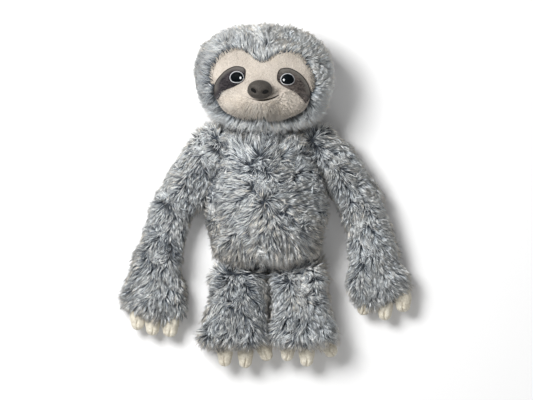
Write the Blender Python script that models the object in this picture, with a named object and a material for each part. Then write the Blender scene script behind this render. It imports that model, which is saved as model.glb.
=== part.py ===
"""A plush sloth, lying on its back as it is photographed.

The toy is a sewn skin of long-pile fur over polyester stuffing. The torso carries four limbs and
a short neck, and the neck carries the head. Each of these bodies is a front panel and a back panel
that meet at a side seam, round a core of stuffing.

Frame: +X is to the right of the photograph, +Y towards the head, +Z up from the floor. The origin
is on the flat of the back, below the middle of the torso. Left and right are as in the photograph.
"""
import math

import bmesh
import bpy
from mathutils import Matrix, Vector

MM = 0.001

# Sewing and clearances
PLUSH_THICKNESS = 7.0 * MM      # backing cloth and the mat of fur on it
VELOUR_THICKNESS = 2.5 * MM     # short-pile cloth of the face
SEAM_GAP = 0.3 * MM             # between two pieces that touch
REST_CUT = 0.5 * MM             # depth of the flats that the toy lies on
OVERRUN = 200.0 * MM            # how far a cutter runs past what it cuts
WELD = 0.002 * MM               # points closer than this are one

# Torso
TORSO_LENGTH = 136.0 * MM       # shoulders to seat
TORSO_TOP_Y = 66.0 * MM
TORSO_WIDTH = 122.0 * MM
TORSO_DEPTH = 81.0 * MM
TORSO_TOP_ROUND = 14.0 * MM
TORSO_SEAT_ROUND = 20.0 * MM
TORSO_SQUARENESS = 2.2
# Each row: place along the length, half width, half depth, as shares of the sizes above
TORSO_SHARES = (
    (0.11, 0.36, 0.40),
    (0.26, 0.46, 0.45),
    (0.43, 0.50, 0.49),
    (0.59, 0.495, 0.50),
    (0.73, 0.465, 0.49),
    (0.84, 0.445, 0.455),
)

# Neck: a stuffed ball of fur cloth that the head nods and turns on
NECK_RADIUS = 23.0 * MM
NECK_X = -1.5 * MM
NECK_Y = 66.0 * MM
NECK_HEIGHT = 38.0 * MM
NECK_CLEARANCE = 0.5 * MM

# Head
HEAD_WIDTH = 140.0 * MM
HEAD_HEIGHT = 100.0 * MM
HEAD_DEPTH = 97.0 * MM
HEAD_X = -2.0 * MM
HEAD_Y = 125.5 * MM
HEAD_LEAN = math.radians(-2.5)
HEAD_OUTLINE_SQUARENESS = 2.35
HEAD_SECTION_SQUARENESS = 2.15
# Places of the head's rings from chin to crown, as shares of half its height
HEAD_RING_SHARES = (-0.96, -0.84, -0.64, -0.38, -0.13, 0.13, 0.38, 0.64, 0.84, 0.96)

# Face panel, on the head's front
FACE_WIDTH_SHARE = 0.7457       # of the head's width
FACE_WIDTH = FACE_WIDTH_SHARE * HEAD_WIDTH
FACE_HEIGHT = 71.0 * MM
FACE_X = -3.9 * MM
FACE_Y = 116.0 * MM
FACE_SINK = 1.5 * MM            # how far the face lies below the fur
FACE_BASE = 54.0 * MM           # height that the face's opening is cut down to
# The outline's points, as shares of half the face's width and height
FACE_OUTLINE_SHARES = (
    (0.00, 0.61), (0.18, 0.71), (0.34, 0.87), (0.56, 0.91), (0.78, 0.72), (0.96, 0.30),
    (0.99, -0.04), (0.90, -0.45), (0.78, -0.76), (0.47, -0.96), (0.14, -0.99), (0.00, -0.89),
    (-0.14, -0.93), (-0.42, -0.95), (-0.70, -0.80), (-0.86, -0.50), (-0.97, -0.05),
    (-0.99, 0.35), (-0.86, 0.72), (-0.62, 0.95), (-0.38, 0.95), (-0.16, 0.72),
)

# Swellings of the face: place, size and height above the floor
CHEEK_WIDTH = 50.0 * MM
CHEEK_HEIGHT = 30.0 * MM
CHEEK_DEPTH = 29.0 * MM
CHEEK_SPREAD_SHARE = 0.4406     # between the two cheeks' middles, of the face's width
CHEEK_X = -3.5 * MM
CHEEK_Y = 97.0 * MM
CHEEK_LEVEL = 80.0 * MM
MUZZLE_WIDTH = 44.0 * MM
MUZZLE_HEIGHT = 32.0 * MM
MUZZLE_DEPTH = 28.0 * MM
MUZZLE_X = -4.5 * MM
MUZZLE_Y = 104.0 * MM
MUZZLE_LEVEL = 84.0 * MM

# Eye patches, rings and eyes, sewn on the face in layers
PATCH_THICKNESS = 1.0 * MM
RING_THICKNESS = 0.8 * MM
EYE_THICKNESS = 1.5 * MM
EYE_WIDTH = 12.0 * MM
EYE_HEIGHT = 10.4 * MM
RING_BORDER = 1.3 * MM
PATCH_LENGTH = 40.0 * MM
# Middles of the eyes, as shares of half the face's width and height
EYE_LEFT_SHARES = (-0.4905, 0.1915)
EYE_RIGHT_SHARES = (0.4789, 0.1380)
# Patch outlines from the eye's middle, as shares of the patch's length, outward and upward
PATCH_LEFT_SHARES = (
    (-0.21, 0.12), (-0.17, 0.24), (0.02, 0.28), (0.20, 0.22), (0.36, 0.10), (0.54, -0.14),
    (0.56, -0.40), (0.48, -0.54), (0.40, -0.42), (0.26, -0.30), (0.06, -0.22), (-0.16, -0.08),
)
PATCH_RIGHT_SHARES = (
    (-0.26, 0.06), (-0.20, 0.24), (-0.04, 0.29), (0.14, 0.25), (0.36, 0.10), (0.52, -0.14),
    (0.56, -0.38), (0.46, -0.58), (0.38, -0.50), (0.20, -0.32), (-0.06, -0.19), (-0.22, -0.07),
)

# Nose with its shank and lock washer
NOSE_WIDTH = 25.2 * MM
NOSE_HEIGHT = 19.4 * MM
NOSE_DEPTH = 18.0 * MM
NOSE_X = -6.5 * MM
NOSE_Y = 110.5 * MM
NOSE_LEVEL = 98.5 * MM
NOSTRIL_WIDTH = 6.0 * MM
NOSTRIL_HEIGHT = 2.6 * MM
NOSTRIL_DEPTH = 6.0 * MM
NOSTRIL_SPREAD = 11.5 * MM
NOSTRIL_DROP = 1.8 * MM
NOSTRIL_SLANT = math.radians(25)
SHANK_RADIUS = 2.5 * MM
SHANK_LENGTH = 18.0 * MM
WASHER_RADIUS = 8.0 * MM
WASHER_THICKNESS = 1.6 * MM

# Mouth: a stitched line under the nose
MOUTH_WIDTH = 34.5 * MM
MOUTH_X = -4.3 * MM
MOUTH_Y = 103.4 * MM
MOUTH_DIP = 5.0 * MM
MOUTH_TURN = 1.5 * MM           # how much higher the right corner ends
THREAD_RADIUS = 0.6 * MM
MOUTH_STEPS = 16

# Arms, each in the frame of its shoulder seam: along the seam and square to it
ARM_LENGTH = 207.0 * MM
ARM_WIDTH = 50.0 * MM
ARM_DEPTH = 46.0 * MM
ARM_TOP_ROUND = 14.0 * MM
PAW_ROUND = 13.0 * MM
ARM_SQUARENESS = 2.1
SEAM_TOP_Y = 69.0 * MM
SEAM_LEFT_X = -32.5 * MM
SEAM_RIGHT_X = 30.5 * MM
SEAM_LEFT_LEAN = math.radians(21.1)
SEAM_RIGHT_LEAN = math.radians(26.6)
SEAM_LENGTH = 78.0 * MM
SHOULDER_SHARE = 0.5            # where the arm's pivot lies along its seam
# Each row: place along the arm, offset of the middle from the seam, half width, half depth
ARM_LEFT_SHARES = (
    (0.07, 0.21, 0.41, 0.46),
    (0.19, 0.32, 0.49, 0.50),
    (0.29, 0.41, 0.49, 0.50),
    (0.38, 0.48, 0.47, 0.48),
    (0.46, 0.56, 0.41, 0.46),
    (0.61, 0.52, 0.42, 0.46),
    (0.74, 0.45, 0.47, 0.46),
    (0.845, 0.31, 0.59, 0.45),
    (0.90, 0.27, 0.60, 0.43),
    (0.935, 0.31, 0.52, 0.39),
)
ARM_RIGHT_SHARES = (
    (0.08, 0.21, 0.41, 0.46),
    (0.18, 0.30, 0.46, 0.50),
    (0.27, 0.38, 0.46, 0.50),
    (0.36, 0.46, 0.445, 0.48),
    (0.45, 0.49, 0.425, 0.46),
    (0.585, 0.39, 0.44, 0.46),
    (0.725, 0.20, 0.52, 0.46),
    (0.80, 0.09, 0.56, 0.45),
    (0.85, 0.11, 0.55, 0.43),
    (0.88, 0.15, 0.48, 0.39),
)

# Legs, each from its hip axis to the end of the foot
HIP_X = 2.5 * MM                # middle between the legs
HIP_SPREAD = 59.6 * MM
HIP_Y = -88.0 * MM
HIP_RADIUS = 27.0 * MM
HIP_CLEARANCE = 0.4 * MM
LEG_REACH = 61.0 * MM
LEG_WIDTH = 62.0 * MM
FOOT_ROUND = 13.0 * MM
LEG_SQUARENESS = 2.6
# Each row: place along the leg, offset of the middle outward, half width, half depth
LEG_SHARES = (
    (0.00, 0.000, 0.455, 0.50),
    (0.31, 0.026, 0.482, 0.50),
    (0.52, 0.056, 0.511, 0.50),
    (0.78, 0.077, 0.529, 0.48),
)

# Claws: stuffed velour fingers, three on each paw
CLAW_LENGTH = 26.0 * MM
CLAW_WIDTH = 14.4 * MM
CLAW_ROUND = 6.0 * MM
CLAW_SQUARENESS = 2.0
HAND_CLAW_LEVEL = 18.0 * MM
FOOT_CLAW_LEVEL = 24.0 * MM
# Each row: place along the claw, half width and half depth, as shares of its length and width
CLAW_SHARES = (
    (0.00, 0.50),
    (0.45, 0.51),
    (0.77, 0.42),
)
# Each row: the tip along and across the limb, as shares of its length and width, and its turn
HAND_LEFT_CLAWS = (
    (1.068, 0.37, math.radians(-21)),
    (1.066, 0.05, math.radians(-21)),
    (1.042, -0.29, math.radians(-21)),
)
HAND_RIGHT_CLAWS = (
    (1.010, 0.32, math.radians(-23)),
    (1.010, -0.09, math.radians(-27)),
    (0.940, -0.44, math.radians(-31)),
)
FOOT_LEFT_CLAWS = (
    (1.295, 0.24, math.radians(3)),
    (1.320, -0.10, math.radians(0)),
    (1.200, -0.47, math.radians(-18)),
)
FOOT_RIGHT_CLAWS = (
    (1.205, -0.19, math.radians(-4)),
    (1.295, 0.13, math.radians(0)),
    (1.130, 0.57, math.radians(28)),
)

# Mesh fineness
OUTER_SIDES = 16
TORSO_SIDES = 20
HEAD_SIDES = 20
INNER_SIDES = 10
CORE_SIDES = 14
CLAW_SIDES = 8
CHEEK_SIDES = 14
CHEEK_RINGS = 8
NOSE_SIDES = 16
NOSE_RINGS = 9
NOSTRIL_SIDES = 8
NOSTRIL_RINGS = 6
CAP_ANGLES = tuple(math.radians(a) for a in (66, 42, 20))
BALL_SEGMENTS = 20
BALL_RINGS = 12
ROD_SIDES = 16
WASHER_SIDES = 20
SOCKET_SIDES = 48
EYE_POINTS = 10
OUTLINE_STEPS = 2
THREAD_STEPS = 1
SHARP_ANGLE = math.radians(40)

# Colours, with roughness
FUR = ((0.27, 0.31, 0.34), 0.95)
BELLY_FUR = ((0.29, 0.32, 0.33), 0.95)
FACE_CLOTH = ((0.72, 0.64, 0.54), 0.90)
PATCH_CLOTH = ((0.060, 0.050, 0.048), 0.85)
CLAW_CLOTH = ((0.74, 0.68, 0.56), 0.90)
NOSE_SKIN = ((0.085, 0.074, 0.066), 0.55)
EYE_DARK = ((0.010, 0.014, 0.020), 0.30)
EYE_LIGHT = ((0.80, 0.81, 0.82), 0.50)
THREAD = ((0.020, 0.017, 0.015), 0.70)
FIBRE = ((0.86, 0.86, 0.84), 1.00)
WASHER_PLASTIC = ((0.80, 0.80, 0.78), 0.40)


for thing in list(bpy.data.objects):
    bpy.data.objects.remove(thing)
TOY = bpy.data.collections.new("plush_sloth")
bpy.context.scene.collection.children.link(TOY)


class Limb:
    """A level frame: an origin, the way along the limb and the way across it, outward."""

    def __init__(self, origin, along, across):
        self.origin = Vector(origin)
        self.along = Vector(along).normalized()
        self.across = Vector(across).normalized()

    def point(self, along, across, height):
        return self.origin + self.along * along + self.across * across + Vector((0, 0, height))


def material(name, finish):
    """A plain surface of one colour and roughness."""
    made = bpy.data.materials.get(name)
    if made is None:
        made = bpy.data.materials.new(name)
        made.use_nodes = True
        colour, roughness = finish
        shader = made.node_tree.nodes["Principled BSDF"]
        shader.inputs["Base Color"].default_value = (*colour, 1)
        shader.inputs["Roughness"].default_value = roughness
        shader.inputs["Metallic"].default_value = 0
    return made


def solid(name, mesh):
    """A working object, not yet a piece of the toy."""
    made = bpy.data.objects.new(name, mesh)
    bpy.context.scene.collection.objects.link(made)
    return made


def apply_modifiers(target):
    """Take the object's evaluated mesh as its own, welded where points coincide."""
    graph = bpy.context.evaluated_depsgraph_get()
    mesh = bpy.data.meshes.new_from_object(target.evaluated_get(graph))
    target.modifiers.clear()
    work = bmesh.new()
    work.from_mesh(mesh)
    bmesh.ops.remove_doubles(work, verts=work.verts, dist=WELD)
    bmesh.ops.dissolve_degenerate(work, edges=work.edges, dist=WELD)
    work.to_mesh(mesh)
    work.free()
    target.data = mesh
    return target


def facing_out(target):
    work = bmesh.new()
    work.from_mesh(target.data)
    bmesh.ops.recalc_face_normals(work, faces=work.faces)
    work.to_mesh(target.data)
    work.free()
    return target


def meshed(drawn):
    """A curve object's shape as a mesh object in the same place."""
    graph = bpy.context.evaluated_depsgraph_get()
    mesh = bpy.data.meshes.new_from_object(drawn.evaluated_get(graph))
    mesh.transform(drawn.matrix_world)
    made = solid(drawn.name, mesh)
    bpy.data.objects.remove(drawn)
    return made


def combine(target, other, operation, keep=False):
    """Cut the target with, join it to, or keep what it shares with another solid."""
    step = target.modifiers.new("combine", "BOOLEAN")
    step.operation = operation
    step.solver = "EXACT"
    step.object = other
    apply_modifiers(target)
    if not keep:
        bpy.data.objects.remove(other)
    return target


def copy_of(source, name):
    return solid(name, source.data.copy())


def half_space(point, normal):
    """A large block on the far side of a plane, to cut away all that the normal points at."""
    bpy.ops.mesh.primitive_cube_add(size=1)
    block = bpy.context.object
    block.data.transform(Matrix.Diagonal((2 * OVERRUN, 2 * OVERRUN, OVERRUN, 1)))
    block.data.transform(Matrix.Translation((0, 0, OVERRUN / 2)))
    turn = Vector(normal).to_track_quat("Z", "Y").to_matrix().to_4x4()
    block.data.transform(Matrix.Translation(point) @ turn)
    return block


def block_between(low, high):
    """A box from its low corner to its high corner."""
    bpy.ops.mesh.primitive_cube_add(size=1)
    block = bpy.context.object
    low, high = Vector(low), Vector(high)
    block.data.transform(Matrix.Diagonal((*(high - low), 1)))
    block.data.transform(Matrix.Translation((low + high) / 2))
    return block


def ball(name, centre, half_sizes, segments=BALL_SEGMENTS, rings=BALL_RINGS):
    """An ellipsoid with its poles at the front and back."""
    bpy.ops.mesh.primitive_uv_sphere_add(segments=segments, ring_count=rings, radius=1)
    made = bpy.context.object
    made.name = name
    made.data.transform(Matrix.Diagonal((*half_sizes, 1)))
    made.data.transform(Matrix.Translation(centre))
    return made


def rod(name, low, radius, length, segments=ROD_SIDES):
    """An upright cylinder from its low end."""
    bpy.ops.mesh.primitive_cylinder_add(vertices=segments, radius=radius, depth=length)
    made = bpy.context.object
    made.name = name
    made.data.transform(Matrix.Translation(Vector(low) + Vector((0, 0, length / 2))))
    return made


def power(value, exponent):
    return math.copysign(abs(value) ** exponent, value)


def refine(rows):
    """Add a row midway between each two, by the four-point rule (9 (b + c) - (a + d)) / 16."""
    padded = [rows[0], *rows, rows[-1]]
    finer = [rows[0]]
    for a, b, c, d in zip(padded, padded[1:], padded[2:], padded[3:]):
        finer.append(tuple((9 * (q + r) - (p + s)) / 16 for p, q, r, s in zip(a, b, c, d)))
        finer.append(c)
    return finer


def lying_height(half_depth, squareness, sides):
    """Height of a section's middle when its lowest facet lies REST_CUT below the floor."""
    return half_depth * math.cos(math.pi / sides) ** (2 / squareness) - REST_CUT


def section(limb, along, middle, half_width, half_depth, height, squareness, sides):
    """Points round a superellipse, none of them at the height of the side seam."""
    points = []
    for i in range(sides):
        turn = 2 * math.pi * (i + 0.5) / sides
        across = middle + half_width * power(math.cos(turn), 2 / squareness)
        up = height + half_depth * power(math.sin(turn), 2 / squareness)
        points.append(limb.point(along, across, up))
    return points


def turned_section(limb, rise, middle, half_width, radius, height, squareness, sides):
    """The section at a given rise through a form turned about the axis across the limb.

    The form's radius at a place x across is radius (1 - (x / half_width)^p)^(1 / p).
    """
    width_here = half_width * (1 - (rise / radius) ** squareness) ** (1 / squareness)
    points = []
    for i in range(sides):
        turn = 2 * math.pi * (i + 0.5) / sides
        x = width_here * power(math.cos(turn), 2 / squareness)
        reach = radius * (1 - abs(x / half_width) ** squareness) ** (1 / squareness)
        up = math.copysign(math.sqrt(max(reach * reach - rise * rise, 0)), math.sin(turn))
        points.append(limb.point(-rise, middle + x, height + up))
    return points


def skin_rings(name, rings, start, end):
    """A closed mesh through rings of points, with one point at each end."""
    sides = len(rings[0])
    points = [start, *(p for ring in rings for p in ring), end]
    last = len(points) - 1
    faces = []
    for i in range(sides):
        j = (i + 1) % sides
        faces.append((0, 1 + j, 1 + i))
        for r in range(len(rings) - 1):
            low, high = 1 + r * sides, 1 + (r + 1) * sides
            faces.append((low + i, low + j, high + j))
            faces.append((low + i, high + j, high + i))
        top = 1 + (len(rings) - 1) * sides
        faces.append((last, top + i, top + j))
    mesh = bpy.data.meshes.new(name)
    mesh.from_pydata(points, [], faces)
    return facing_out(solid(name, mesh))


def soft_form(name, limb, rows, rounds, squareness, sides, inset, turned=False, height=None):
    """A stuffed form lofted through rows of (along, middle, half width, half depth).

    Each end closes with a round cap. The inset draws every surface in by the same amount. With
    turned set, the first end is a surface turned about the axis across the limb, as at a hip.
    """
    def level(row):
        return lying_height(row[3], squareness, OUTER_SIDES) if height is None else height

    def ring(row, along, scale):
        return section(limb, along, row[1], (row[2] - inset) * scale, (row[3] - inset) * scale,
                       level(row), squareness, sides)

    first, last = rows[0], rows[-1]
    start_round, end_round = rounds[0] - inset, rounds[1] - inset
    rings = []
    for angle in CAP_ANGLES:
        rise = start_round * math.sin(angle)
        if turned:
            rings.append(turned_section(limb, rise, first[1], first[2] - inset, first[3] - inset,
                                        level(first), squareness, sides))
        else:
            rings.append(ring(first, first[0] - rise, math.cos(angle)))
    rings += [ring(row, row[0], 1) for row in rows]
    for angle in reversed(CAP_ANGLES):
        rings.append(ring(last, last[0] + end_round * math.sin(angle), math.cos(angle)))
    start = limb.point(first[0] - start_round, first[1], level(first))
    end = limb.point(last[0] + end_round, last[1], level(last))
    return skin_rings(name, rings, start, end)


def finish(made, name, finish_name, finish_look, parent):
    """Turn a working solid into a named piece of the toy, with its origin at its parent's."""
    made.name = name
    made.data.name = name
    made.data.materials.clear()
    made.data.materials.append(material(finish_name, finish_look))
    made.data.transform(Matrix.Translation(-parent.matrix_world.translation))
    made.parent = parent
    for holder in list(made.users_collection):
        holder.objects.unlink(made)
    TOY.objects.link(made)
    made.data.shade_smooth()
    made.data.set_sharp_from_angle(angle=SHARP_ANGLE)
    return made


def pivot(name, place, parent=None):
    """An empty on a joint's axis, which carries the pieces that move together."""
    made = bpy.data.objects.new(name, None)
    made.empty_display_size = NECK_RADIUS
    made.location = place
    TOY.objects.link(made)
    if parent is not None:
        made.parent = parent
        made.location = Vector(place) - parent.matrix_world.translation
    bpy.context.view_layer.update()
    return made


def sewn_body(name, shape, cuts, seam_height, parent, fur, work_skin=None, work_core=None):
    """Two fur panels round a stuffing core, all from one shape drawn in by different amounts."""
    outer, inner, core = shape(0), shape(PLUSH_THICKNESS), shape(PLUSH_THICKNESS + SEAM_GAP)
    for form, inset in ((outer, 0), (inner, PLUSH_THICKNESS), (core, PLUSH_THICKNESS + SEAM_GAP)):
        for cut in cuts:
            cut(form, inset)
    combine(outer, half_space((0, 0, 0), (0, 0, -1)), "DIFFERENCE")
    combine(outer, inner, "DIFFERENCE")
    if work_skin is not None:
        work_skin(outer)
    front, back = outer, copy_of(outer, name + "_back_panel")
    combine(front, half_space((0, 0, seam_height + SEAM_GAP / 2), (0, 0, -1)), "DIFFERENCE")
    combine(back, half_space((0, 0, seam_height - SEAM_GAP / 2), (0, 0, 1)), "DIFFERENCE")
    if work_core is not None:
        work_core(core)
    finish(front, name + "_front_panel", *fur, parent)
    finish(back, name + "_back_panel", "grey_fur", FUR, parent)
    finish(core, name + "_stuffing", "fibre", FIBRE, parent)


def torso_shape(inset):
    limb = Limb((0, TORSO_TOP_Y, 0), (0, -1, 0), (1, 0, 0))
    rows = [(share * TORSO_LENGTH, 0, width * TORSO_WIDTH, depth * TORSO_DEPTH)
            for share, width, depth in TORSO_SHARES]
    rows = refine(rows) if inset <= 0 else rows
    sides = TORSO_SIDES if inset <= 0 else CORE_SIDES
    rounds = (TORSO_TOP_ROUND, TORSO_SEAT_ROUND)
    return soft_form("torso", limb, rows, rounds, TORSO_SQUARENESS, sides, inset)


def neck_place():
    return Vector((NECK_X, NECK_Y, NECK_HEIGHT))


def hip_height():
    return lying_height(HIP_RADIUS, LEG_SQUARENESS, OUTER_SIDES)


def cut_neck_socket(form, inset):
    reach = NECK_RADIUS + NECK_CLEARANCE + inset
    combine(form, ball("neck_socket", neck_place(), (reach, reach, reach)), "DIFFERENCE")


def cut_hips(form, inset):
    """Take away the round of each hip and the room that the legs fold up into."""
    reach = HIP_RADIUS + HIP_CLEARANCE + inset
    axle = rod("hip_socket", (0, 0, -OVERRUN), reach, 2 * OVERRUN, SOCKET_SIDES)
    axle.data.transform(Matrix.Rotation(math.radians(90), 4, "Y"))
    axle.data.transform(Matrix.Translation((0, HIP_Y, hip_height())))
    combine(form, axle, "DIFFERENCE")
    fold_room = block_between((-OVERRUN, HIP_Y - OVERRUN, hip_height()),
                              (OVERRUN, HIP_Y + reach, OVERRUN))
    combine(form, fold_room, "DIFFERENCE")


def arm_limb(side):
    """The frame of a shoulder seam: along it to the armpit, and outward square to it."""
    lean = SEAM_LEFT_LEAN if side < 0 else SEAM_RIGHT_LEAN
    top = SEAM_LEFT_X if side < 0 else SEAM_RIGHT_X
    along = (side * math.sin(lean), -math.cos(lean), 0)
    across = (side * math.cos(lean), math.sin(lean), 0)
    return Limb((top, SEAM_TOP_Y, 0), along, across)


def cut_shoulders(form, inset):
    for side in (-1, 1):
        limb = arm_limb(side)
        place = limb.point(0, -(SEAM_GAP / 2 + inset), 0)
        combine(form, half_space(place, limb.across), "DIFFERENCE")


def make_torso(root):
    sewn_body("torso", torso_shape, (cut_neck_socket, cut_hips, cut_shoulders),
              TORSO_DEPTH / 2 - REST_CUT, root, ("belly_fur", BELLY_FUR))


def arm_rows(side):
    shares = ARM_LEFT_SHARES if side < 0 else ARM_RIGHT_SHARES
    return [(a * ARM_LENGTH, m * ARM_WIDTH, w * ARM_WIDTH, d * ARM_DEPTH)
            for a, m, w, d in shares]


def arm_shape(side, inset):
    sides = OUTER_SIDES if inset <= 0 else INNER_SIDES
    rounds = (ARM_TOP_ROUND, PAW_ROUND)
    return soft_form("arm", arm_limb(side), arm_rows(side), rounds, ARM_SQUARENESS, sides, inset)


def cut_arm_seam(side):
    """The flat that an arm is sewn on by, as long as its seam."""
    def cut(form, inset):
        limb = arm_limb(side)
        flat = block_between((-OVERRUN, -SEAM_LENGTH - inset, -OVERRUN),
                             (SEAM_GAP / 2 + inset, OVERRUN, OVERRUN))
        axes = Matrix((limb.across, -limb.along, (0, 0, 1))).transposed().to_4x4()
        if axes.determinant() < 0:
            flat.data.flip_normals()
        flat.data.transform(Matrix.Translation(limb.origin) @ axes)
        combine(form, flat, "DIFFERENCE")
    return cut


def claw_rows():
    return [(share * CLAW_LENGTH, 0, width * CLAW_WIDTH, width * CLAW_WIDTH)
            for share, width in CLAW_SHARES]


def make_claws(name, limb, length, width, table, level, paw, parent):
    """Three claws, each ending at its tip and cut where it meets the paw."""
    for number, (along, across, turn) in enumerate(table, 1):
        ahead = limb.along * math.cos(turn) + limb.across * math.sin(turn)
        sideways = limb.across * math.cos(turn) - limb.along * math.sin(turn)
        tip = limb.point(along * length, across * width, 0)
        reach = CLAW_SHARES[-1][0] * CLAW_LENGTH + CLAW_ROUND
        own = Limb(tip - ahead * reach, ahead, sideways)
        claw = soft_form("claw", own, claw_rows(), (CLAW_ROUND, CLAW_ROUND), CLAW_SQUARENESS,
                         CLAW_SIDES, 0, height=level)
        combine(claw, paw, "DIFFERENCE", keep=True)
        finish(claw, f"{name}_claw_{number}", "cream_velour", CLAW_CLOTH, parent)
    bpy.data.objects.remove(paw)


def make_arm(side, root):
    name = "arm_left" if side < 0 else "arm_right"
    limb = arm_limb(side)
    place = limb.point(SEAM_LENGTH * SHOULDER_SHARE, 0, ARM_DEPTH / 2 - REST_CUT)
    parent = pivot(name + "_pivot", place, root)
    sewn_body(name, lambda inset: arm_shape(side, inset), (cut_arm_seam(side),),
              ARM_DEPTH / 2 - REST_CUT, parent, ("grey_fur", FUR))
    table = HAND_LEFT_CLAWS if side < 0 else HAND_RIGHT_CLAWS
    make_claws(name, limb, ARM_LENGTH, ARM_WIDTH, table, HAND_CLAW_LEVEL,
               arm_shape(side, -SEAM_GAP), parent)


def leg_limb(side):
    return Limb((HIP_X + side * HIP_SPREAD / 2, HIP_Y, 0), (0, -1, 0), (side, 0, 0))


def leg_shape(side, inset):
    rows = [(a * LEG_REACH, m * LEG_WIDTH, w * LEG_WIDTH, d * 2 * HIP_RADIUS)
            for a, m, w, d in LEG_SHARES]
    sides = OUTER_SIDES if inset <= 0 else INNER_SIDES
    return soft_form("leg", leg_limb(side), rows, (HIP_RADIUS, FOOT_ROUND), LEG_SQUARENESS,
                     sides, inset, turned=True)


def make_leg(side, root):
    name = "leg_left" if side < 0 else "leg_right"
    limb = leg_limb(side)
    parent = pivot(name + "_pivot", limb.point(0, 0, hip_height()), root)
    sewn_body(name, lambda inset: leg_shape(side, inset), (), hip_height(), parent,
              ("grey_fur", FUR))
    table = FOOT_LEFT_CLAWS if side < 0 else FOOT_RIGHT_CLAWS
    make_claws(name, limb, LEG_REACH, LEG_WIDTH, table, FOOT_CLAW_LEVEL,
               leg_shape(side, -SEAM_GAP), parent)


def head_shape(inset, sides):
    """The head, lofted from chin to crown: a superellipse in outline, an ellipse from the side."""
    half_width, half_height = HEAD_WIDTH / 2 - inset, HEAD_HEIGHT / 2 - inset
    half_depth = HEAD_DEPTH / 2 - inset
    level = lying_height(HEAD_DEPTH / 2, HEAD_SECTION_SQUARENESS, HEAD_SIDES)
    upward = Vector((-math.sin(HEAD_LEAN), math.cos(HEAD_LEAN), 0))
    across = Vector((math.cos(HEAD_LEAN), math.sin(HEAD_LEAN), 0))
    limb = Limb((HEAD_X, HEAD_Y, 0), upward, across)
    rings = []
    for share in HEAD_RING_SHARES:
        squareness = HEAD_OUTLINE_SQUARENESS
        width = half_width * (1 - abs(share) ** squareness) ** (1 / squareness)
        depth = half_depth * math.sqrt(1 - share * share)
        rings.append(section(limb, share * half_height, 0, width, depth, level,
                             HEAD_SECTION_SQUARENESS, sides))
    start, end = limb.point(-half_height, 0, level), limb.point(half_height, 0, level)
    return skin_rings("head", rings, start, end)


def head_level():
    return lying_height(HEAD_DEPTH / 2, HEAD_SECTION_SQUARENESS, HEAD_SIDES)


def face_form(rise):
    """The front of the face, raised by some amount: the head with its cheeks and muzzle."""
    form = head_shape(FACE_SINK - rise, HEAD_SIDES)
    grown = Vector((rise, rise, rise))
    for side in (-1, 1):
        outward = side * CHEEK_SPREAD_SHARE * FACE_WIDTH / 2
        centre = (CHEEK_X + outward, CHEEK_Y, CHEEK_LEVEL)
        half = Vector((CHEEK_WIDTH, CHEEK_HEIGHT, CHEEK_DEPTH)) / 2 + grown
        combine(form, ball("cheek", centre, half, CHEEK_SIDES, CHEEK_RINGS), "UNION")
    half = Vector((MUZZLE_WIDTH, MUZZLE_HEIGHT, MUZZLE_DEPTH)) / 2 + grown
    combine(form, ball("muzzle", (MUZZLE_X, MUZZLE_Y, MUZZLE_LEVEL), half, CHEEK_SIDES, CHEEK_RINGS), "UNION")
    return form


def prism(name, points):
    """An upright block of a flat outline, from inside the head up past the nose."""
    curve = bpy.data.curves.new(name, "CURVE")
    curve.dimensions = "2D"
    curve.fill_mode = "BOTH"
    curve.extrude = HEAD_DEPTH / 2
    curve.resolution_u = OUTLINE_STEPS
    spline = curve.splines.new("BEZIER")
    spline.bezier_points.add(len(points) - 1)
    for handle, (x, y) in zip(spline.bezier_points, points):
        handle.co = (x, y, 0)
        handle.handle_left_type = handle.handle_right_type = "AUTO"
    spline.use_cyclic_u = True
    block = apply_modifiers(meshed(solid(name, curve)))
    block.data.transform(Matrix.Translation((0, 0, FACE_BASE + HEAD_DEPTH / 2)))
    return facing_out(block)


def face_outline(gap):
    """The face's outline, drawn in by a gap."""
    return [(FACE_X + x * (FACE_WIDTH / 2 - gap), FACE_Y + y * (FACE_HEIGHT / 2 - gap))
            for x, y in FACE_OUTLINE_SHARES]


def ellipse(centre, width, height, points=EYE_POINTS):
    turns = [2 * math.pi * i / points for i in range(points)]
    return [(centre[0] + width / 2 * math.cos(t), centre[1] + height / 2 * math.sin(t))
            for t in turns]


def layer(name, outline, low, high):
    """A sheet on the face between two heights above it, inside an outline."""
    sheet = face_form(high)
    combine(sheet, face_form(low), "DIFFERENCE")
    combine(sheet, prism(name + "_outline", outline), "INTERSECT")
    return sheet


def drill(target, x, y, low, radius):
    """A round hole from a height up through all above it."""
    combine(target, rod("hole", (x, y, low), radius, OVERRUN), "DIFFERENCE")


def surface_height(target, x, y):
    """How high the top of a working solid is at a place."""
    hit, place, _, _ = target.ray_cast((x, y, OVERRUN), (0, 0, -1))
    return place.z if hit else head_level()


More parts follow.
